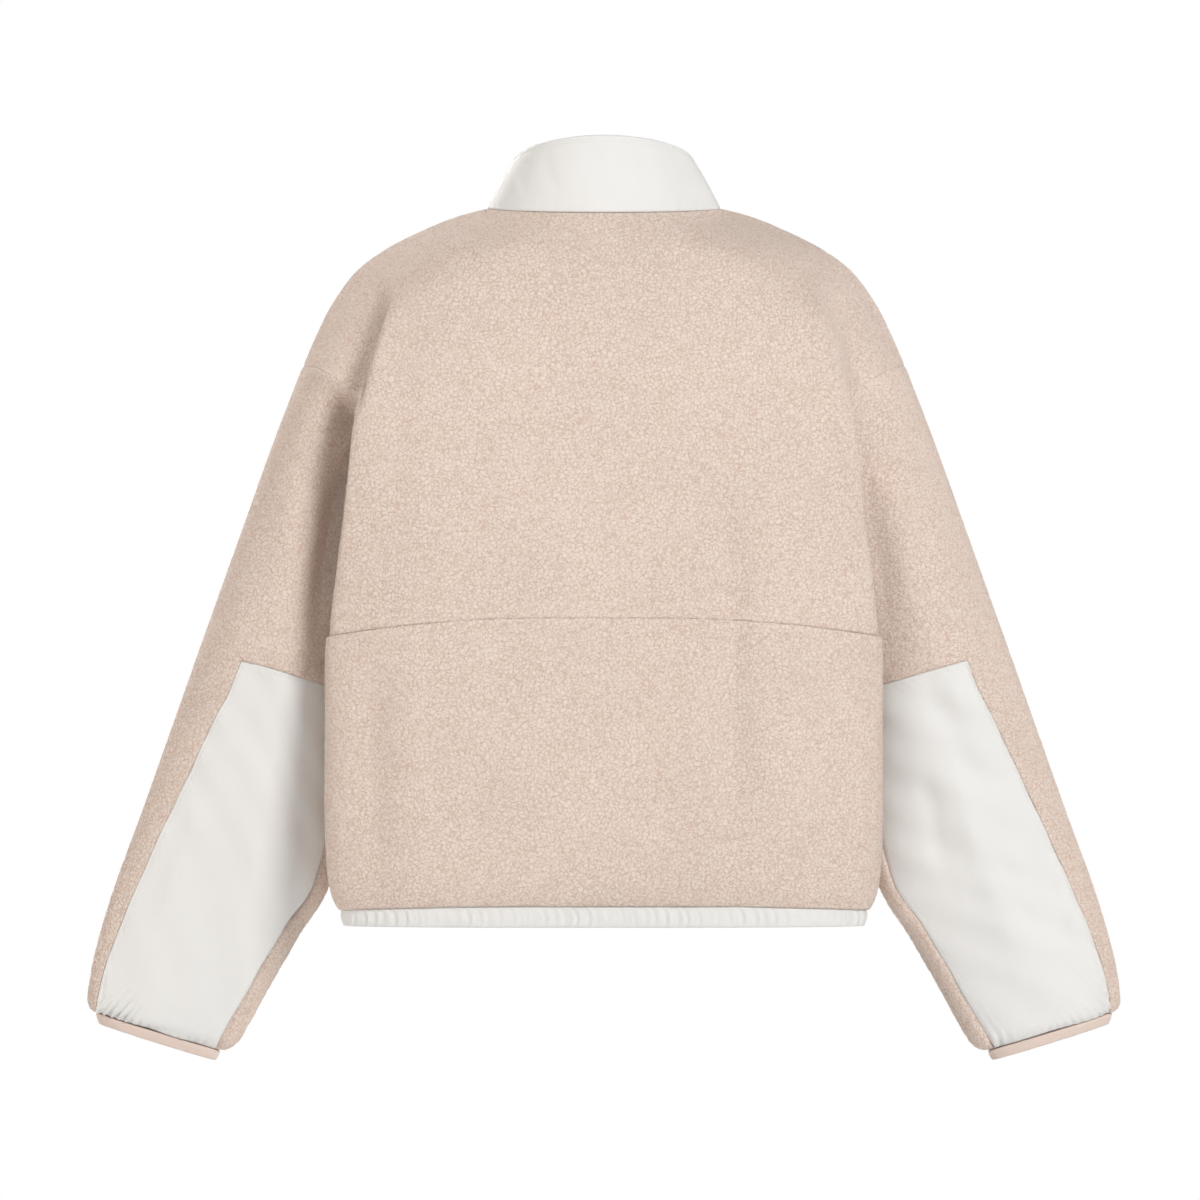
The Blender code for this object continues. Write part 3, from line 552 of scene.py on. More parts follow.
def inner_faces(keep, tube, every):
    """Coarse cells whose rim sides carry every fine point, and the rim's own edges."""
    down = lines_of(keep.shape[0] + 1, (keep[1:] != keep[:-1]).any(axis=1), every)
    over = lines_of(keep.shape[1] + 1, (keep[:, 1:] != keep[:, :-1]).any(axis=0), every)
    kept = keep[np.ix_(down[:-1], over[:-1])]
    tall, wide = kept.shape
    faces, edges = [], []
    for i, j in zip(*np.nonzero(kept)):
        (top, low), (left, right) = down[i : i + 2], over[j : j + 2]
        beside = ((i - 1, j), (i, j + 1), (i + 1, j), (i, j - 1))
        runs = (
            [(top, c) for c in range(left, right + 1)],
            [(r, right) for r in range(top, low + 1)],
            [(low, c) for c in range(right, left - 1, -1)],
            [(r, left) for r in range(low, top - 1, -1)],
        )
        face = []
        for (a, b), run in zip(beside, runs):
            b = b % wide if tube else b
            if 0 <= a < tall and 0 <= b < wide and kept[a, b]:
                face.append(run[0])
            else:
                face += run[:-1]
                edges += list(zip(run, run[1:]))
        faces.append(face[::-1])
    return faces, edges


def wall(name, grid, thick, material, keep=None, tube=False, lift=0.0, shape=0.0,
         roll=(0.6, 3.2), hold=1.0, every=6):
    """A closed wall of cloth on a grid of points in millimetres; makes the object."""
    rows, columns = grid.shape[:2]
    keep = np.ones((rows - 1, columns - 1), bool) if keep is None else keep
    near, used, rim = rim_of(keep, tube)
    out = outwards(grid, tube)
    away = rim_distance(grid, used, rim)
    depth, reach = roll
    round_in = 1 - np.sqrt(np.clip(1 - (1 - np.clip(away / reach, 0, 1)) ** 2, 0, 1))
    centres = (grid[:-1, :-1] + grid[:-1, 1:] + grid[1:, :-1] + grid[1:, 1:]) / 4
    centres = np.pad(centres, ((1, 1), (1, 1), (0, 0)))
    if tube:
        centres[1:-1, 0], centres[1:-1, -1] = centres[1:-1, -2], centres[1:-1, 1]
    corners = (centres[:-1, :-1], centres[:-1, 1:], centres[1:, :-1], centres[1:, 1:])
    pull = sum((corner - grid) * here[:, :, None] for corner, here in zip(corners, near))
    pull = unit(pull - out * (pull * out).sum(axis=-1, keepdims=True)) * rim[:, :, None]
    seat = grid + pull * SEAM_GAP / 2
    level = lift + shape + np.zeros(grid.shape[:2])
    outer = seat + out * (level - depth * round_in * hold)[:, :, None]
    inner = seat + out * (level - thick)[:, :, None]
    if tube:
        outer[:, -1], inner[:, -1] = outer[:, 0], inner[:, 0]

    count = rows * columns
    cell = np.argwhere(keep)
    a = cell[:, 0] * columns + cell[:, 1]
    quads = np.stack([a, a + 1, a + columns + 1, a + columns], axis=1)
    coarse, edges = inner_faces(keep, tube, every)
    faces = quads.tolist()
    faces += [[count + r * columns + c for r, c in face] for face in coarse]
    for (r, c), (s, d) in edges:
        p, q = r * columns + c, s * columns + d
        faces.append([q, p, count + p, count + q])
    flat = np.concatenate([np.asarray(face) for face in faces])
    same = np.arange(2 * count)
    if tube:
        last = np.arange(columns - 1, 2 * count, columns)
        same[last] = last - columns + 1
    shown, index = np.unique(same[flat], return_inverse=True)
    ends = np.cumsum([len(face) for face in faces])
    points = np.concatenate([outer.reshape(-1, 3), inner.reshape(-1, 3)])[shown] * MM
    mesh = bpy.data.meshes.new(f"{name}_cloth")
    starts = [0, *ends[:-1].tolist()]
    order = index.tolist()
    mesh.from_pydata(points.tolist(), [], [order[s:e] for s, e in zip(starts, ends)])
    place = np.stack([chords(grid, axis=1), chords(grid, axis=0)], axis=-1).reshape(-1, 2) * MM
    layer = mesh.uv_layers.new(name="cloth")
    layer.data.foreach_set("uv", np.concatenate([place, place])[flat].ravel())
    pile = np.concatenate([(0.25 + 0.75 * ease(away / 4)).ravel(), np.zeros(count)])[shown]
    mesh.attributes.new("pile", "FLOAT", "POINT").data.foreach_set("value", pile)
    mesh.materials.append(material)
    mesh.shade_smooth()
    obj = bpy.data.objects.new(mesh.name, mesh)
    bpy.context.scene.collection.objects.link(obj)
    surfaces[name] = (outer, out, away)
    print(f"{name}: {len(points)} points, {len(faces)} faces")
    return obj

# %% [markdown]
# ## Node helpers
# Materials and Geometry Nodes are both trees of nodes. Two small helpers place a node with its
# settings and wire it, so that each recipe below reads like a list.

# %% Node helpers
def place(tree, kind, settings=None, **inputs):
    """A new node. Inputs are given by name, as values or as sockets to link from."""
    node = tree.nodes.new(kind)
    for key, value in (settings or {}).items():
        setattr(node, key, value)
    for key, value in inputs.items():
        name = key.replace("_", " ")
        numbered = name.startswith("in") and name[2:].isdigit()
        socket = node.inputs[int(name[2:]) if numbered else name]
        if isinstance(value, bpy.types.NodeSocket):
            tree.links.new(value, socket)
        else:
            socket.default_value = value
    return node


def sums(tree, operation, first, second=0.0, third=0.0):
    """One step of arithmetic."""
    node = place(tree, "ShaderNodeMath", {"operation": operation}, in0=first, in1=second, in2=third)
    return node.outputs[0]


CURL_BEND = 0.0045  # how far the pile's cells are pushed about, in metres


def curls(tree, where, scale):
    """Pile height from 0 in the grooves to 1 on the curls, in a shader or a geometry tree."""
    bend = place(tree, "ShaderNodeTexNoise", Vector=where, Scale=scale, Detail=1.0)
    bent = place(tree, "ShaderNodeVectorMath", {"operation": "MULTIPLY_ADD"},
                 in0=bend.outputs["Color"], in1=(CURL_BEND,) * 3, in2=where)
    cell = place(tree, "ShaderNodeTexVoronoi", {"feature": "DISTANCE_TO_EDGE"},
                 Vector=bent.outputs[0], Scale=scale)
    ridge = place(tree, "ShaderNodeMapRange", {"interpolation_type": "SMOOTHSTEP"},
                  Value=cell.outputs["Distance"], From_Max=0.13)
    return ridge.outputs[0]


def group(name, inputs, outputs):
    """An empty shader group with named sockets."""
    tree = bpy.data.node_groups.new(name, "ShaderNodeTree")
    for word, kind, value in inputs:
        socket = tree.interface.new_socket(word, in_out="INPUT", socket_type=kind)
        if value is not None:
            socket.default_value = value
    for word, kind in outputs:
        tree.interface.new_socket(word, in_out="OUTPUT", socket_type=kind)
    return tree, tree.nodes.new("NodeGroupInput"), tree.nodes.new("NodeGroupOutput")


def finish_of(name, rough, sheen=0.0, tint=(1.0, 1.0, 1.0), sheen_rough=0.5, specular=0.5):
    """A new material and its Principled shader, with its plain values set."""
    material = bpy.data.materials.new(name)
    material.use_nodes = True
    shader = material.node_tree.nodes["Principled BSDF"]
    values = {"Roughness": rough, "Sheen Weight": sheen, "Sheen Tint": (*tint, 1.0),
              "Sheen Roughness": sheen_rough, "Specular IOR Level": specular}
    for key, value in values.items():
        shader.inputs[key].default_value = value
    return material, material.node_tree, shader


def shared(tree, source, **inputs):
    return place(tree, "ShaderNodeGroup", {"node_tree": source}, **inputs)

# %% [markdown]
# ## Finishes
# Sherpa-like fleece is knitted, then brushed and tumbled until its pile curls into small worms.
# One group makes those curls from Voronoi cells whose places are bent by noise: each cell is a
# curl, and the narrow gaps run along the cells' edges. The gaps take a darker colour, which is
# painted shade between the curls. The white cloth is a plain-weave nylon: a second group holds
# thread grids for weave, knit and tape, so that each has its own pitch. Wear and handling show
# as faint uneven tone, a third group.

# %% Shared effects
C, F, V = "NodeSocketColor", "NodeSocketFloat", "NodeSocketVector"
tone_group, g_in, g_out = group(
    "uneven tone",
    [("Colour", C, None), ("Place", V, None), ("Size", F, 9.0), ("Strength", F, 0.04)],
    [("Colour", C)])
cloud = place(tone_group, "ShaderNodeTexNoise", Vector=g_in.outputs["Place"],
              Scale=g_in.outputs["Size"], Detail=2.0)
swing = sums(tone_group, "MULTIPLY_ADD", cloud.outputs[0], 2.0, -1.0)
swing = sums(tone_group, "MULTIPLY_ADD", swing, g_in.outputs["Strength"], 1.0)
toned = place(tone_group, "ShaderNodeVectorMath", {"operation": "SCALE"},
              Vector=g_in.outputs["Colour"], Scale=swing)
tone_group.links.new(toned.outputs[0], g_out.inputs["Colour"])

curl_group, g_in, g_out = group(
    "pile curls",
    [("Place", V, None), ("Scale", F, 270.0), ("Groove", C, None), ("Tip", C, None),
     ("Blush", C, None)],
    [("Colour", C), ("Height", F)])
height = curls(curl_group, g_in.outputs["Place"], g_in.outputs["Scale"])
fuzz = place(curl_group, "ShaderNodeTexNoise", Vector=g_in.outputs["Place"], Scale=900.0,
             Detail=2.0)
clump = place(curl_group, "ShaderNodeTexNoise", Vector=g_in.outputs["Place"], Scale=75.0,
              Detail=1.0)
blush = place(curl_group, "ShaderNodeMapRange", Value=clump.outputs[0], From_Min=0.42,
              From_Max=0.62, To_Max=0.55)
tips = place(curl_group, "ShaderNodeMix", {"data_type": "RGBA"}, in0=blush.outputs[0],
             in6=g_in.outputs["Tip"], in7=g_in.outputs["Blush"])
# The groove colour, mixed in where the pile is low, is painted shade in the gaps between curls.
mixed = place(curl_group, "ShaderNodeMix", {"data_type": "RGBA"}, in0=height,
              in6=g_in.outputs["Groove"], in7=tips.outputs[2])
rough_height = sums(curl_group, "MULTIPLY_ADD", fuzz.outputs[0], 0.35, height)
curl_group.links.new(mixed.outputs[2], g_out.inputs["Colour"])
curl_group.links.new(rough_height, g_out.inputs["Height"])

thread_group, g_in, g_out = group(
    "thread grid", [("Place", V, None), ("Across", F, 1500.0), ("Along", F, 1500.0)],
    [("Height", F)])
split = place(thread_group, "ShaderNodeSeparateXYZ", Vector=g_in.outputs["Place"])
turns = []
for axis, word in ((0, "Across"), (1, "Along")):
    scaled = sums(thread_group, "MULTIPLY", split.outputs[axis], g_in.outputs[word])
    turns.append(sums(thread_group, "SINE", sums(thread_group, "MULTIPLY", scaled, 2 * math.pi)))
bumps = sums(thread_group, "MULTIPLY", *turns)
thread_group.links.new(sums(thread_group, "MULTIPLY_ADD", bumps, 0.5, 0.5), g_out.inputs["Height"])
print("shared effects:", [tree.name for tree in bpy.data.node_groups])

# %% Cloth and plastic materials
CURL_SCALE = 330.0  # curls to the metre, about


def fleece_finish():
    material, tree, shader = finish_of("pile fleece", 0.95, 0.2, (1.0, 0.9, 0.82), 0.45, 0.12)
    where = place(tree, "ShaderNodeTexCoord").outputs["Object"]
    # The darker groove colour is painted shade in the pile's gaps; tip and blush are the pile's own
    # colour.
    pile = shared(tree, curl_group, Place=where, Scale=CURL_SCALE, Groove=(0.60, 0.44, 0.365, 1),
                  Tip=(0.72, 0.615, 0.54, 1), Blush=(0.71, 0.592, 0.512, 1))
    tone = shared(tree, tone_group, Colour=pile.outputs["Colour"], Place=where, Size=11.0,
                  Strength=0.05)
    bump = place(tree, "ShaderNodeBump", Strength=0.6, Distance=0.0006,
                 Height=pile.outputs["Height"])
    tree.links.new(tone.outputs["Colour"], shader.inputs["Base Color"])
    tree.links.new(bump.outputs["Normal"], shader.inputs["Normal"])
    return material


def cloth_finish(name, colour, across, along, depth, rough, sheen=0.0, crumple=0.0, gloss=0.5):
    """Woven or knitted cloth: a thread grid on the piece's own map, over faint crumples."""
    material, tree, shader = finish_of(name, rough, sheen, specular=gloss)
    where = place(tree, "ShaderNodeTexCoord")
    threads = shared(tree, thread_group, Place=where.outputs["UV"], Across=across, Along=along)
    tone = shared(tree, tone_group, Colour=(*colour, 1), Place=where.outputs["Object"],
                  Size=26.0, Strength=0.02)
    creases = place(tree, "ShaderNodeTexNoise", Vector=where.outputs["Object"], Scale=55.0,
                    Detail=3.0, Roughness=0.5)
    soft = place(tree, "ShaderNodeBump", Strength=crumple, Distance=0.002,
                 Height=creases.outputs[0])
    bump = place(tree, "ShaderNodeBump", Strength=0.5, Distance=depth,
                 Height=threads.outputs["Height"], Normal=soft.outputs["Normal"])
    tree.links.new(tone.outputs["Colour"], shader.inputs["Base Color"])
    tree.links.new(bump.outputs["Normal"], shader.inputs["Normal"])
    return material


def plastic_finish():
    material, tree, shader = finish_of("moulded plastic", 0.38)
    where = place(tree, "ShaderNodeTexCoord").outputs["Object"]
    tone = shared(tree, tone_group, Colour=(0.66, 0.53, 0.45, 1), Place=where, Size=300.0,
                  Strength=0.05)
    grain = place(tree, "ShaderNodeTexNoise", Vector=where, Scale=4000.0)
    bump = place(tree, "ShaderNodeBump", Strength=0.15, Distance=0.0001, Height=grain.outputs[0])
    tree.links.new(tone.outputs["Colour"], shader.inputs["Base Color"])
    tree.links.new(bump.outputs["Normal"], shader.inputs["Normal"])
    return material


fleece = fleece_finish()
WHITE_NYLON = (0.73, 0.72, 0.70)
nylon = cloth_finish("woven nylon", WHITE_NYLON, 1800, 1800, 0.00008, 0.55,
                     crumple=0.2, gloss=0.3)
band_cloth = cloth_finish("gathered nylon", WHITE_NYLON, 1800, 1800, 0.00008, 0.6,
                          crumple=0.3, gloss=0.25)
knit = cloth_finish("cuff knit", (0.70, 0.57, 0.50), 620, 900, 0.0003, 0.85, sheen=0.2, gloss=0.2)
tape_cloth = cloth_finish("zip tape", (0.70, 0.57, 0.49), 900, 1400, 0.0002, 0.8, gloss=0.2)
thread = cloth_finish("sewing thread", (0.84, 0.82, 0.79), 2500, 2500, 0.00005, 0.6)
plastic = plastic_finish()
print("finishes:", [material.name for material in (fleece, nylon, band_cloth, knit, plastic)])

# %% [markdown]
# ## Raising the pile
# The curls also stand up: they break the outline into tiny knobs. Geometry Nodes push each
# outer point along its normal by the same curl recipe that colours the curls, at a coarser
# scale and over broader lumps. Real hair would take millions of strands to say the same thing.

# %% Pile, in Geometry Nodes
def geometry_tree(name, inputs):
    tree = bpy.data.node_groups.new(name, "GeometryNodeTree")
    tree.interface.new_socket("Geometry", in_out="INPUT", socket_type="NodeSocketGeometry")
    for word, kind, value in inputs:
        socket = tree.interface.new_socket(word, in_out="INPUT", socket_type=kind)
        if value is not None:
            socket.default_value = value
    tree.interface.new_socket("Geometry", in_out="OUTPUT", socket_type="NodeSocketGeometry")
    return tree, tree.nodes.new("NodeGroupInput"), tree.nodes.new("NodeGroupOutput")


def close_tree(tree, g_in, g_out, geometry):
    """Realizes the instances, sets the material and puts the geometry out."""
    real = place(tree, "GeometryNodeRealizeInstances", Geometry=geometry)
    dressed = place(tree, "GeometryNodeSetMaterial", Geometry=real.outputs[0],
                    Material=g_in.outputs["Material"])
    tree.links.new(dressed.outputs[0], g_out.inputs["Geometry"])


def applied(obj, tree, **values):
    """Runs a Geometry Nodes tree on the object and keeps its result as a plain mesh."""
    change = obj.modifiers.new(tree.name, "NODES")
    change.node_group = tree
    for item in tree.interface.items_tree:
        if item.in_out == "INPUT" and item.name.replace(" ", "_") in values:
            change[item.identifier] = values[item.name.replace(" ", "_")]
    graph = bpy.context.evaluated_depsgraph_get()
    mesh = bpy.data.meshes.new_from_object(obj.evaluated_get(graph), depsgraph=graph)
    obj.modifiers.remove(change)
    obj.data = mesh
    mesh.name = obj.name
    return obj


pile_tree, g_in, g_out = geometry_tree(
    "raise the pile", [("Pile height", F, 0.00045), ("Curl scale", F, 210.0),
                       ("Material", "NodeSocketMaterial", None)])
where = place(pile_tree, "GeometryNodeInputPosition").outputs[0]
lumps = place(pile_tree, "ShaderNodeTexNoise", Vector=where, Scale=120.0, Detail=1.0)
tall = sums(pile_tree, "MULTIPLY_ADD", lumps.outputs[0], 0.9,
            curls(pile_tree, where, g_in.outputs["Curl scale"]))
mask = place(pile_tree, "GeometryNodeInputNamedAttribute", {"data_type": "FLOAT"}, Name="pile")
tall = sums(pile_tree, "MULTIPLY", sums(pile_tree, "SUBTRACT", tall, 0.9), mask.outputs[0])
tall = sums(pile_tree, "MULTIPLY", tall, g_in.outputs["Pile height"])
normal = place(pile_tree, "GeometryNodeInputNormal").outputs[0]
offset = place(pile_tree, "ShaderNodeVectorMath", {"operation": "SCALE"}, Vector=normal, Scale=tall)
raised = place(pile_tree, "GeometryNodeSetPosition", Geometry=g_in.outputs["Geometry"],
               Offset=offset.outputs[0])
close_tree(pile_tree, g_in, g_out, raised.outputs[0])


def piled(obj):
    return applied(obj, pile_tree, Material=fleece)


print("pile tree:", len(pile_tree.nodes), "nodes")

# %% [markdown]
# ## The back
# Two pieces: an upper back that takes in the shoulders, and a lower back whose turned edge
# laps over it along a nearly level seam. In the middle the upper piece rises to meet the
# lap, which leaves one fine line there and a soft step at each side.

# %% Back pieces
LAP_END = 10.8  # the column where the lap starts to sink into the side seam
yoke = int(np.argmin(abs(back_steps - YOKE_ROW)))
reach = np.abs(np.concatenate([-back_columns[:0:-1], back_columns]))
lap = LAP_LIFT * (1 - ease((reach - LAP_END) / (ROW_COLUMNS[-1] - 0.5 - LAP_END)))
LAP_RISE, RISE_END, RISE_FADE, RISE_DROP = 2.3, 5, 4, 14
# In the middle the upper back rises to meet the lap, over RISE_DROP above the seam.
under_lap = LAP_RISE * (1 - ease((reach - RISE_END) / RISE_FADE))
back_folds = folded(whole_back, outwards(whole_back, False), behind="back")
above_seam = chords(whole_back)[yoke] - chords(whole_back)
back_upper = piled(wall(
    "back_upper", whole_back[: yoke + 1], FLEECE_WALL, fleece,
    shape=(back_folds + under_lap * (1 - ease(above_seam / RISE_DROP)))[: yoke + 1],
    hold=ease(above_seam[: yoke + 1] / 8) * 0.9 + 0.1))
back_lower = piled(wall(
    "back_lower", whole_back[yoke:], FLEECE_WALL, fleece, lift=lap, shape=back_folds[yoke:],
    roll=(0.25, 2.0)))

# %% [markdown]
# ## The fronts
# The two fronts are hidden in the picture, so they are finished plainly: one piece each, from
# the shoulder to the hem seam, ending beside the zip.

# %% Front pieces
fronts, front_shift = {}, {}
for word, grid in (("left", front[:, ::-1]), ("right", mirrored(front))):
    moved = outwards(grid, False) * folded(grid, outwards(grid, False), before="front")[..., None]
    front_shift[word] = moved[:, 0] if word == "left" else moved[:, -1]
    fronts[word] = piled(wall(
        f"front_{word}", grid, FLEECE_WALL, fleece,
        shape=folded(grid, outwards(grid, False), before="front")))

# %% [markdown]
# ## Sleeves and forearm panels
# The sleeve is one tube of fleece with a window cut in the back of the forearm. The nylon
# panel fills the window: it is thinner, so it lies a little lower, its edges are turned under
# and stitched, and it is drawn into short fanned gathers by the cuff.

# %% Sleeves
PANEL_EDGE_RISE, PANEL_STITCH_DIP = 0.75, 0.35


def panel_cells(around, down):
    """Which cells of a sleeve belong to the forearm panel."""
    cells = np.zeros((len(down) - 1, 2 * len(around) - 2), bool)
    first, last = (int(np.argmin(abs(around - step))) for step in PANEL_STEPS)
    total = cells.shape[1]
    cells[int(np.argmin(abs(down - PANEL_TOP_ROW))) :, total - last : total - first] = True
    return cells


def cuff_gathers(grid, pitch, depth, reach, seed):
    """Short gathers that fan out from the cuff."""
    left = chords(grid)[-1] - chords(grid)
    along = chords(grid, axis=1)[-1]
    along = along - along.mean()
    fan = along[None, :] * (1 + left / 160)
    uneven = 0.6 + 0.4 * np.sin(along / 13 + seed)
    return depth * gathers(fan, pitch, seed) * np.exp(-left / (reach * uneven)) * ease(left / 4)


def sleeve_folds(grid):
    return folded(grid, outwards(grid, True), "sleeve behind", "sleeve before")


def armhole_shift(word, steps):
    """How far the folds of the back and the front move the armhole's ring, for +X."""
    end = -1 if word == "left" else 0
    behind = outwards(whole_back, False)[:, end] * back_folds[:, end, None]
    pair = [(back_steps, behind), (front_steps, front_shift[word])]
    behind, before = (np.stack([np.interp(steps, at, move[:, k]) for k in range(3)], axis=1)
                      for at, move in pair)
    moved = np.concatenate([behind, before[-2::-1]])[::-1]
    return moved if word == "left" else mirrored(moved)


def panel_shape(grid, keep, seed):
    """The turned edge, its line of stitches, small puckers beside it, and the cuff's gathers."""
    _, used, rim = rim_of(keep, True)
    away = rim_distance(grid, used, rim)
    edge = PANEL_EDGE_RISE * np.exp(-(((away - 1.0) / 1.1) ** 2))
    dip = PANEL_STITCH_DIP * np.exp(-(((away - 2.8) / 0.8) ** 2))
    along = chords(grid)[:, :1] + chords(grid, axis=1)
    pucker = gathers(along, 7.0, seed) * np.exp(-(((away - 4.5) / 3.0) ** 2)) * 0.28
    drop = chords(grid)
    crumple = 0.9 * np.sin(drop / 40 + seed + along / 31) * np.sin(along / 9 - seed)
    gathered = cuff_gathers(grid, 6.5, 2.4, 15.0, seed)
    return sleeve_folds(grid) + edge - dip + pucker + crumple + gathered


sleeves, panels, cuffs = {}, {}, {}
for word, seed in (("left", 1.3), ("right", 2.9)):
    flip = (lambda grid: grid) if word == "left" else (lambda grid: mirrored(grid)[:, ::-1])
    turned = (lambda cells: cells) if word == "left" else (lambda cells: cells[:, ::-1])
    grid = flip(sleeve + armhole_shift(word, around) * ease(1 - down)[:, None, None])
    shape = sleeve_folds(grid) * ease(down / 0.35)[:, None]  # the seam takes the body's folds
    shape = shape + cuff_gathers(grid, 11.0, 0.9, 8.0, seed)
    sleeves[word] = piled(wall(
        f"sleeve_{word}", grid, FLEECE_WALL, fleece, keep=~turned(panel_cells(around, down)),
        tube=True, shape=shape))
    grid, keep = flip(fine_sleeve), turned(panel_cells(fine_around, fine_down))
    panels[word] = wall(
        f"forearm_panel_{word}", grid, WOVEN_WALL, nylon, keep=keep, tube=True,
        lift=-PANEL_RECESS, shape=panel_shape(grid, keep, seed), roll=(0.5, 0.8))

# %% [markdown]
# ## Cuff bindings
# A strip of ribbed knit is folded over each sleeve end. It is full and rounded, and the
# thread that holds it sinks into a thin dark line along its upper edge.

# %% Bindings
for word in ("left", "right"):
    grid = cuff if word == "left" else mirrored(cuff)[:, ::-1]
    along = chords(grid, axis=1)
    ribs = 0.12 * np.sin(2 * math.pi * along / 2.6) + 0.12 * gathers(along, 17.0, 2.0)
    cuffs[word] = wall(f"cuff_binding_{word}", grid, BINDING_WALL, knit, tube=True, shape=ribs,
                       roll=(0.6, 1.8))

# %% [markdown]
# ## Collar
# The stand collar is a doubled strip of nylon, topstitched twice just under its top edge.
# Each line of stitches sinks a little, and soft puckers run down from them.

# %% Collar piece
TOPSTITCH = (1.9, 4.4)  # below the top edge
fall, along = chords(collar), chords(collar, axis=1)
along = along - along[:, -1:] / 2
collar_shape = folded(collar, outwards(collar, False), behind="collar")
for line in TOPSTITCH:
    collar_shape -= 0.35 * np.exp(-(((fall - line) / 0.7) ** 2))
rise = fall[-1:] - fall
collar_shape += 0.22 * gathers(along, 8.0, 0.7) * np.exp(-fall / 7) * ease(fall / 2)
collar_shape += 0.3 * gathers(along, 10.0, 1.9) * np.exp(-rise / 6)
collar_shape += 0.35 * np.sin(along / 19 + fall / 26) * np.sin(fall / 15 - along / 40)
collar_piece = wall("collar", collar, COLLAR_WALL, nylon, shape=collar_shape, roll=(0.7, 1.4))

# %% [markdown]
# ## Hem band
# A nylon casing holds elastic. Sewn stretched and then let go, the elastic gathers the casing
# into slanting ridges of uneven size.

# %% Hem piece
LEAN = 0.55  # the gathers run this far along for each millimetre down
fall, along = chords(hem), chords(hem, axis=1)
slant = along + LEAN * fall
ridges = gathers(slant, 8.2, 0.4) * 0.8 + gathers(slant * 1.03 + 40, 4.9, 1.1) * 0.4
belly = np.sin(math.pi * np.linspace(0, 1, hem.shape[0]))[:, None] ** 0.6
hem_piece = wall("hem_band", hem, BAND_WALL, band_cloth, shape=ridges * belly, roll=(0.9, 1.8))

# %% [markdown]
# ## The zip
# Two woven tapes lie behind the fronts, and moulded teeth are set along their inner edges,
# each one half a pitch from its neighbour across. Geometry Nodes set one pair of teeth again
# and again along the centre front. The slider, the box and the pull tab keep their solids.

# %% Centre front, tapes and teeth
def centre_line():
    """y, z down the middle of the front, from the collar's top edge to the hem's."""
    middle = body_half(-1, np.linspace(0, 11, 90), np.array([0.0]))[:, 0]
    return np.concatenate([collar[:-1:3, -1], middle, hem[1:, -1]])[:, 1:]


def cut_path(path, first, last, step):
    """Points at an even step along the path, between two lengths along it."""
    at = np.linspace(first, last, max(round((last - first) / step), 2) + 1)
    along = chords(path)
    return np.stack([np.interp(at, along, path[:, k]) for k in (0, 1)], axis=1)


def path_outs(path):
    """The outward direction (y, z) at each point of a path that runs down the front."""
    ahead = np.gradient(path, axis=0)
    return unit(np.stack([ahead[:, 1], -ahead[:, 0]], axis=1))


centre = centre_line()
length = chords(centre)[-1]
tapes = {}
for word, sign in (("left", 1), ("right", -1)):
    path = cut_path(centre, TAPE_ENDS[0], length - TAPE_ENDS[1], 2.0)
    lined = path - path_outs(path) * TAPE_DEPTH
    across = np.linspace(TAPE_INNER, TAPE_OUTER, 12)[::-sign] * sign
    grid = np.array([[(x, y, z) for x in across[::-1]] for y, z in lined])
    tapes[word] = wall(f"zip_tape_{word}", grid, TAPE_WALL, tape_cloth, roll=(0.2, 0.5))


def bar_faces(sides, start):
    """The faces of a closed bar whose two rings of points begin at `start`."""
    faces = [tuple(range(sides))[::-1], tuple(range(sides, 2 * sides))]
    faces += [(a, (a + 1) % sides, (a + 1) % sides + sides, a + sides) for a in range(sides)]
    return [tuple(start + corner for corner in face) for face in faces]


def tooth_pair():
    """Two teeth, one on each side, half a pitch apart along Z, facing -Y."""
    half, back, face = CHAIN_HALF, 0.0, -CHAIN_WALL
    profile = [(-half, back), (-half, face * 0.6), (-half * 0.6, face * 0.95), (0.2, face),
               (0.9, face * 0.7), (0.9, back)]
    points, faces = [], []
    for sign, low in ((1, 0.0), (-1, PITCH / 2)):
        for z in (low, low + TOOTH_TALL):
            points += [(sign * x, y, z) for x, y in (profile if sign > 0 else profile[::-1])]
        faces += bar_faces(len(profile), len(points) - 2 * len(profile))
    return points, faces


def helper_mesh(name, points, faces, edges=()):
    mesh = bpy.data.meshes.new(name)
    mesh.from_pydata((np.array(points, float) * MM).tolist(), list(edges), faces)
    mesh.validate()
    obj = bpy.data.objects.new(name, mesh)
    bpy.context.scene.collection.objects.link(obj)
    return obj


def outline(name, points):
    """A line of edges for Geometry Nodes to follow."""
    return helper_mesh(name, points, [], [(a, a + 1) for a in range(len(points) - 1)])


along_tree, g_in, g_out = geometry_tree(
    "set along a line", [("Pitch", F, 0.0026), ("Item", "NodeSocketObject", None),
                         ("Material", "NodeSocketMaterial", None)])
line = place(along_tree, "GeometryNodeMeshToCurve", Mesh=g_in.outputs["Geometry"])
beads = place(along_tree, "GeometryNodeResampleCurve", {"mode": "LENGTH"},
              Curve=line.outputs[0], Length=g_in.outputs["Pitch"])
tangent = place(along_tree, "GeometryNodeInputTangent").outputs[0]
turn = place(along_tree, "FunctionNodeAlignRotationToVector", {"axis": "Z"}, Vector=tangent)
item = place(along_tree, "GeometryNodeObjectInfo", Object=g_in.outputs["Item"])
row = place(along_tree, "GeometryNodeInstanceOnPoints", Points=beads.outputs[0],
            Instance=item.outputs["Geometry"], Rotation=turn.outputs[0])
close_tree(along_tree, g_in, g_out, row.outputs[0])

PITCH, TOOTH_TALL = 2.6, 1.0
tooth = helper_mesh("tooth pair", *tooth_pair())
path = cut_path(centre, CHAIN_START, length - CHAIN_END, 4.0)
lined = path - path_outs(path) * (TAPE_DEPTH - 0.3)
zip_teeth = outline("zip_teeth", [(0.0, y, z) for y, z in lined[::-1]])
applied(zip_teeth, along_tree, Pitch=PITCH * MM, Item=tooth, Material=plastic)
bpy.data.objects.remove(tooth)
print("zip teeth:", len(zip_teeth.data.polygons), "faces")
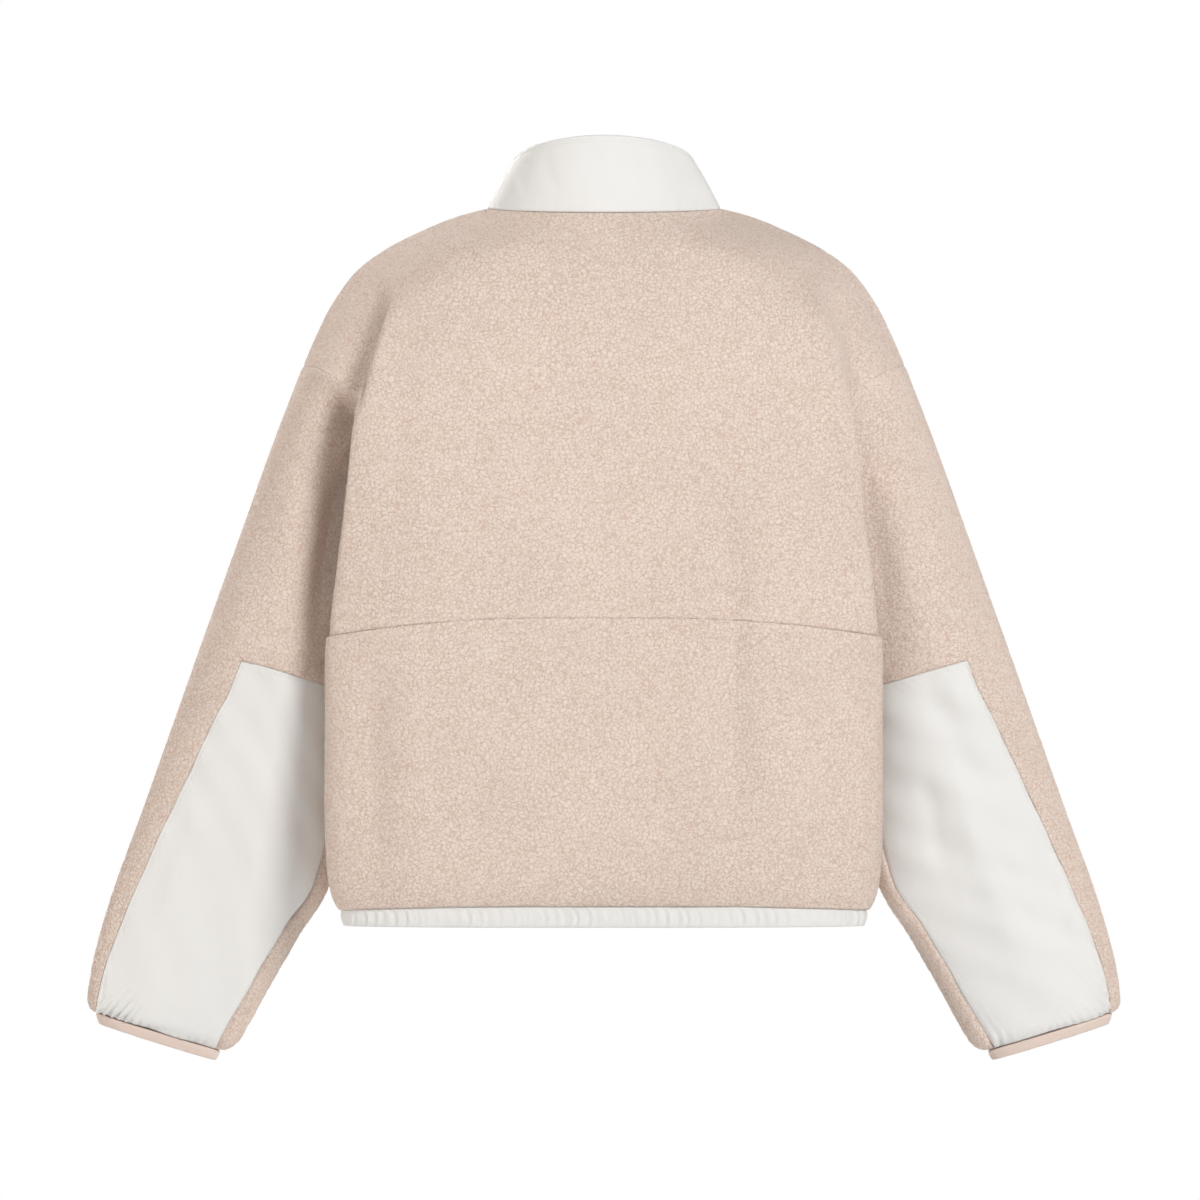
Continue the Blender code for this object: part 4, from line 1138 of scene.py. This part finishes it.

# %% [markdown]
# ## Stitches
# Thread shows where cloth was sewn flat: under the collar's top edge and round the forearm
# panels. Each stitch is a tiny spindle, set at an even pitch along a line that is read from
# the cloth's own finished surface.

# %% Thread
def spindle(length, thick):
    """One stitch, along Z: a thin five-sided bar with pointed ends."""
    ring_of = [(math.cos(2 * math.pi * k / 5) * thick, math.sin(2 * math.pi * k / 5) * thick)
               for k in range(5)]
    points = [(0, 0, -length / 2)]
    points += [(x, y, z) for z in (-length * 0.32, length * 0.32) for x, y in ring_of]
    points.append((0, 0, length / 2))
    faces = [(0, 1 + (k + 1) % 5, 1 + k) for k in range(5)]
    faces += [(1 + k, 1 + (k + 1) % 5, 6 + (k + 1) % 5, 6 + k) for k in range(5)]
    faces += [(6 + k, 6 + (k + 1) % 5, 11) for k in range(5)]
    return points, faces


def joined(name, parts):
    """Makes one object of several plain meshes."""
    points, faces, start = [], [], 0
    for part in parts:
        points += [tuple(v.co / MM) for v in part.data.vertices]
        faces += [tuple(start + v for v in p.vertices) for p in part.data.polygons]
        start = len(points)
        bpy.data.objects.remove(part)
    obj = helper_mesh(name, points, faces)
    obj.data.materials.append(thread)
    obj.data.shade_smooth()
    return obj


def sewn(name, lines, pitch=3.2, size=0.26):
    """Rows of stitches along lines of surface points."""
    stitch = helper_mesh("stitch", *spindle(pitch * 0.82, size))
    parts = []
    for index, points in enumerate(lines):
        part = outline(f"{name}_{index}", points)
        parts.append(applied(part, along_tree, Pitch=pitch * MM, Item=stitch, Material=thread))
    bpy.data.objects.remove(stitch)
    made = joined(name, parts)
    print(name, len(made.data.polygons), "faces")
    return made


def on_surface(name, rows, columns, rise=0.05):
    """Points a little above a finished piece, at these rows and columns of its grid."""
    outer, out, _ = surfaces[name]
    return (outer + out * rise)[rows, columns]


collar_fall = chords(collar)[:, collar.shape[1] // 2]
collar_rows = [int(np.argmin(abs(collar_fall - line))) for line in TOPSTITCH]
collar_thread = sewn("collar_thread", [
    on_surface("collar", row, slice(3, -3)) for row in collar_rows], 2.6, 0.2)
panel_thread = {}
for word in ("left", "right"):
    cells = panel_cells(fine_around, fine_down)
    cells = cells if word == "left" else cells[:, ::-1]
    top = int(np.flatnonzero(cells.any(axis=1))[0])
    first, last = np.flatnonzero(cells[-1])[[0, -1]]
    inset = max(round(2.8 / (PANEL_FACET * COARSE)), 1)
    lines = [
        on_surface(f"forearm_panel_{word}", top + inset, slice(first + inset, last + 2 - inset)),
        on_surface(f"forearm_panel_{word}", slice(top + inset, -2), first + inset),
        on_surface(f"forearm_panel_{word}", slice(top + inset, -2), last + 1 - inset),
    ]
    panel_thread[word] = sewn(f"panel_thread_{word}", lines, 2.8, 0.2)

# %% [markdown]
# ## Putting the pieces on the frame
# Everything sewn moves with the garment; the zip's box, slider and pull tab take the plastic
# finish. Each cloth piece hides the solid it stands for, and a table lists its finish, how it
# is held, and what size of cloth shows in it.

# %% Bodies, slots and cloth sizes
SHEETS = {
    # width, length, area in metres as cut for what shows; slot; how it is held
    "back_upper": (0.62, 0.33, 0.165, "fleece", "hung"),
    "back_lower": (0.56, 0.225, 0.118, "fleece", "hung"),
    "front_left": (0.29, 0.54, 0.135, "fleece", "hung"),
    "front_right": (0.29, 0.54, 0.135, "fleece", "hung"),
    "sleeve_left": (0.36, 0.53, 0.130, "fleece", "hung"),
    "sleeve_right": (0.36, 0.53, 0.130, "fleece", "hung"),
    "forearm_panel_left": (0.150, 0.31, 0.033, "woven_nylon", "hung"),
    "forearm_panel_right": (0.150, 0.31, 0.033, "woven_nylon", "hung"),
    "collar": (0.47, 0.066, 0.0265, "woven_nylon", "hung"),
    "hem_band": (1.24, 0.0190, None, "woven_nylon", "gathered"),
    "cuff_binding_left": (0.200, 0.011, None, "cuff_knit", "stretched"),
    "cuff_binding_right": (0.200, 0.011, None, "cuff_knit", "stretched"),
    "zip_tape_left": (0.0110, 0.575, None, "zip_tape", "hung"),
    "zip_tape_right": (0.0110, 0.575, None, "zip_tape", "hung"),
}
cloth = [back_upper, back_lower, *fronts.values(), *sleeves.values(), *panels.values(),
         collar_piece, hem_piece, *cuffs.values(), *tapes.values()]
for obj in cloth:
    node = obj.name.removesuffix("_cloth")
    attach(obj, "garment")
    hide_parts(node)
    width, tall, area, slot, held = SHEETS[node]
for obj in (collar_thread, *panel_thread.values()):
    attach(obj, "garment")
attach(zip_teeth, "garment")
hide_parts("zip_chain")
for node in ("zip_box", "zip_slider", "pull_tab"):
    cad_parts[node].data.materials.clear()
    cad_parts[node].data.materials.append(plastic)
print("cloth pieces:", len(cloth))

# %% [markdown]
# ## Light, floor and camera
# A white studio. The key lamp stands high on the side of the right sleeve. A warmer one, far
# out on the other side, lights the left sleeve but not the deep fold beside it. Weak lamps
# above and below fill in, and two more light the front. The camera stands level, far behind,
# with a long lens, so that the outline is nearly free of perspective.

# %% Studio
def lamp(name, where, size, power, colour=(1.0, 1.0, 1.0)):
    data = bpy.data.lights.new(name, "AREA")
    data.shape, data.size, data.energy, data.color = "DISK", size, power, colour
    obj = bpy.data.objects.new(name, data)
    obj.location = where
    aim = np.array([0.0, 0.0, -0.28]) - np.array(where)
    obj.rotation_euler = Vector(aim).to_track_quat("-Z", "Y").to_euler()
    bpy.context.scene.collection.objects.link(obj)


lamp("key", (-1.9, 3.5, 1.15), 1.5, 132)
lamp("side", (3.4, 0.8, 0.4), 1.2, 47, (1.0, 0.95, 0.89))
lamp("top", (0.2, 1.2, 3.0), 1.6, 30)
lamp("low", (-0.2, 3.9, -0.85), 1.2, 12)
lamp("front side", (-2.8, -2.2, 0.5), 1.6, 45)
lamp("front key", (1.8, -2.8, 1.4), 2.0, 90)

DAYLIGHT, DAYLIGHT_TINT = 0.04, (1.0, 0.84, 0.7, 1.0)
world = bpy.data.worlds.new("white studio")
world.use_nodes = True
tree = world.node_tree
tree.nodes.clear()
seen = place(tree, "ShaderNodeLightPath").outputs["Is Camera Ray"]
strength = sums(tree, "MULTIPLY_ADD", seen, 1 - DAYLIGHT, DAYLIGHT)
tint = place(tree, "ShaderNodeMix", {"data_type": "RGBA"}, in0=seen, in6=DAYLIGHT_TINT,
             in7=(1, 1, 1, 1))
glow = place(tree, "ShaderNodeBackground", Color=tint.outputs[2], Strength=strength)
place(tree, "ShaderNodeOutputWorld", Surface=glow.outputs[0])
bpy.context.scene.world = world

FLOOR_Z, FLOOR_REACH = -0.95, 3.4
floor = helper_mesh("studio_floor", [
    (math.cos(a) * FLOOR_REACH / MM, math.sin(a) * FLOOR_REACH / MM, FLOOR_Z / MM)
    for a in np.linspace(0, 2 * math.pi, 64, endpoint=False)], [tuple(range(64))])
floor_paint, tree, shader = finish_of("pale floor", 0.8)
shader.inputs["Base Color"].default_value = (0.88, 0.88, 0.88, 1)
where = place(tree, "ShaderNodeTexCoord").outputs["Object"]
far = place(tree, "ShaderNodeVectorMath", {"operation": "LENGTH"}, Vector=where)
haze = place(tree, "ShaderNodeMapRange", {"interpolation_type": "SMOOTHSTEP"},
             Value=far.outputs["Value"], From_Min=1.3, From_Max=3.2)
white = place(tree, "ShaderNodeEmission", Color=(1, 1, 1, 1))
mixed = place(tree, "ShaderNodeMixShader", in0=haze.outputs[0], in1=shader.outputs[0],
              in2=white.outputs[0])
tree.links.new(mixed.outputs[0], tree.nodes["Material Output"].inputs["Surface"])
floor.data.materials.append(floor_paint)

VIEW = {"distance": 9.0, "x": 0.0030, "z": -0.2959, "width": 0.9036, "y": 0.02}
camera_data = bpy.data.cameras.new("camera")
camera_data.sensor_width = 36.0
camera_data.lens = 36.0 * VIEW["distance"] / VIEW["width"]
camera_data.clip_end = 100.0
camera = bpy.data.objects.new("camera", camera_data)
camera.location = (VIEW["x"], VIEW["y"] + VIEW["distance"], VIEW["z"])
camera.rotation_euler = (math.radians(90), 0, math.radians(180))
bpy.context.scene.collection.objects.link(camera)
bpy.context.scene.camera = camera
bpy.context.scene.view_settings.view_transform = "Standard"
print("lens", round(camera_data.lens, 1), "mm")
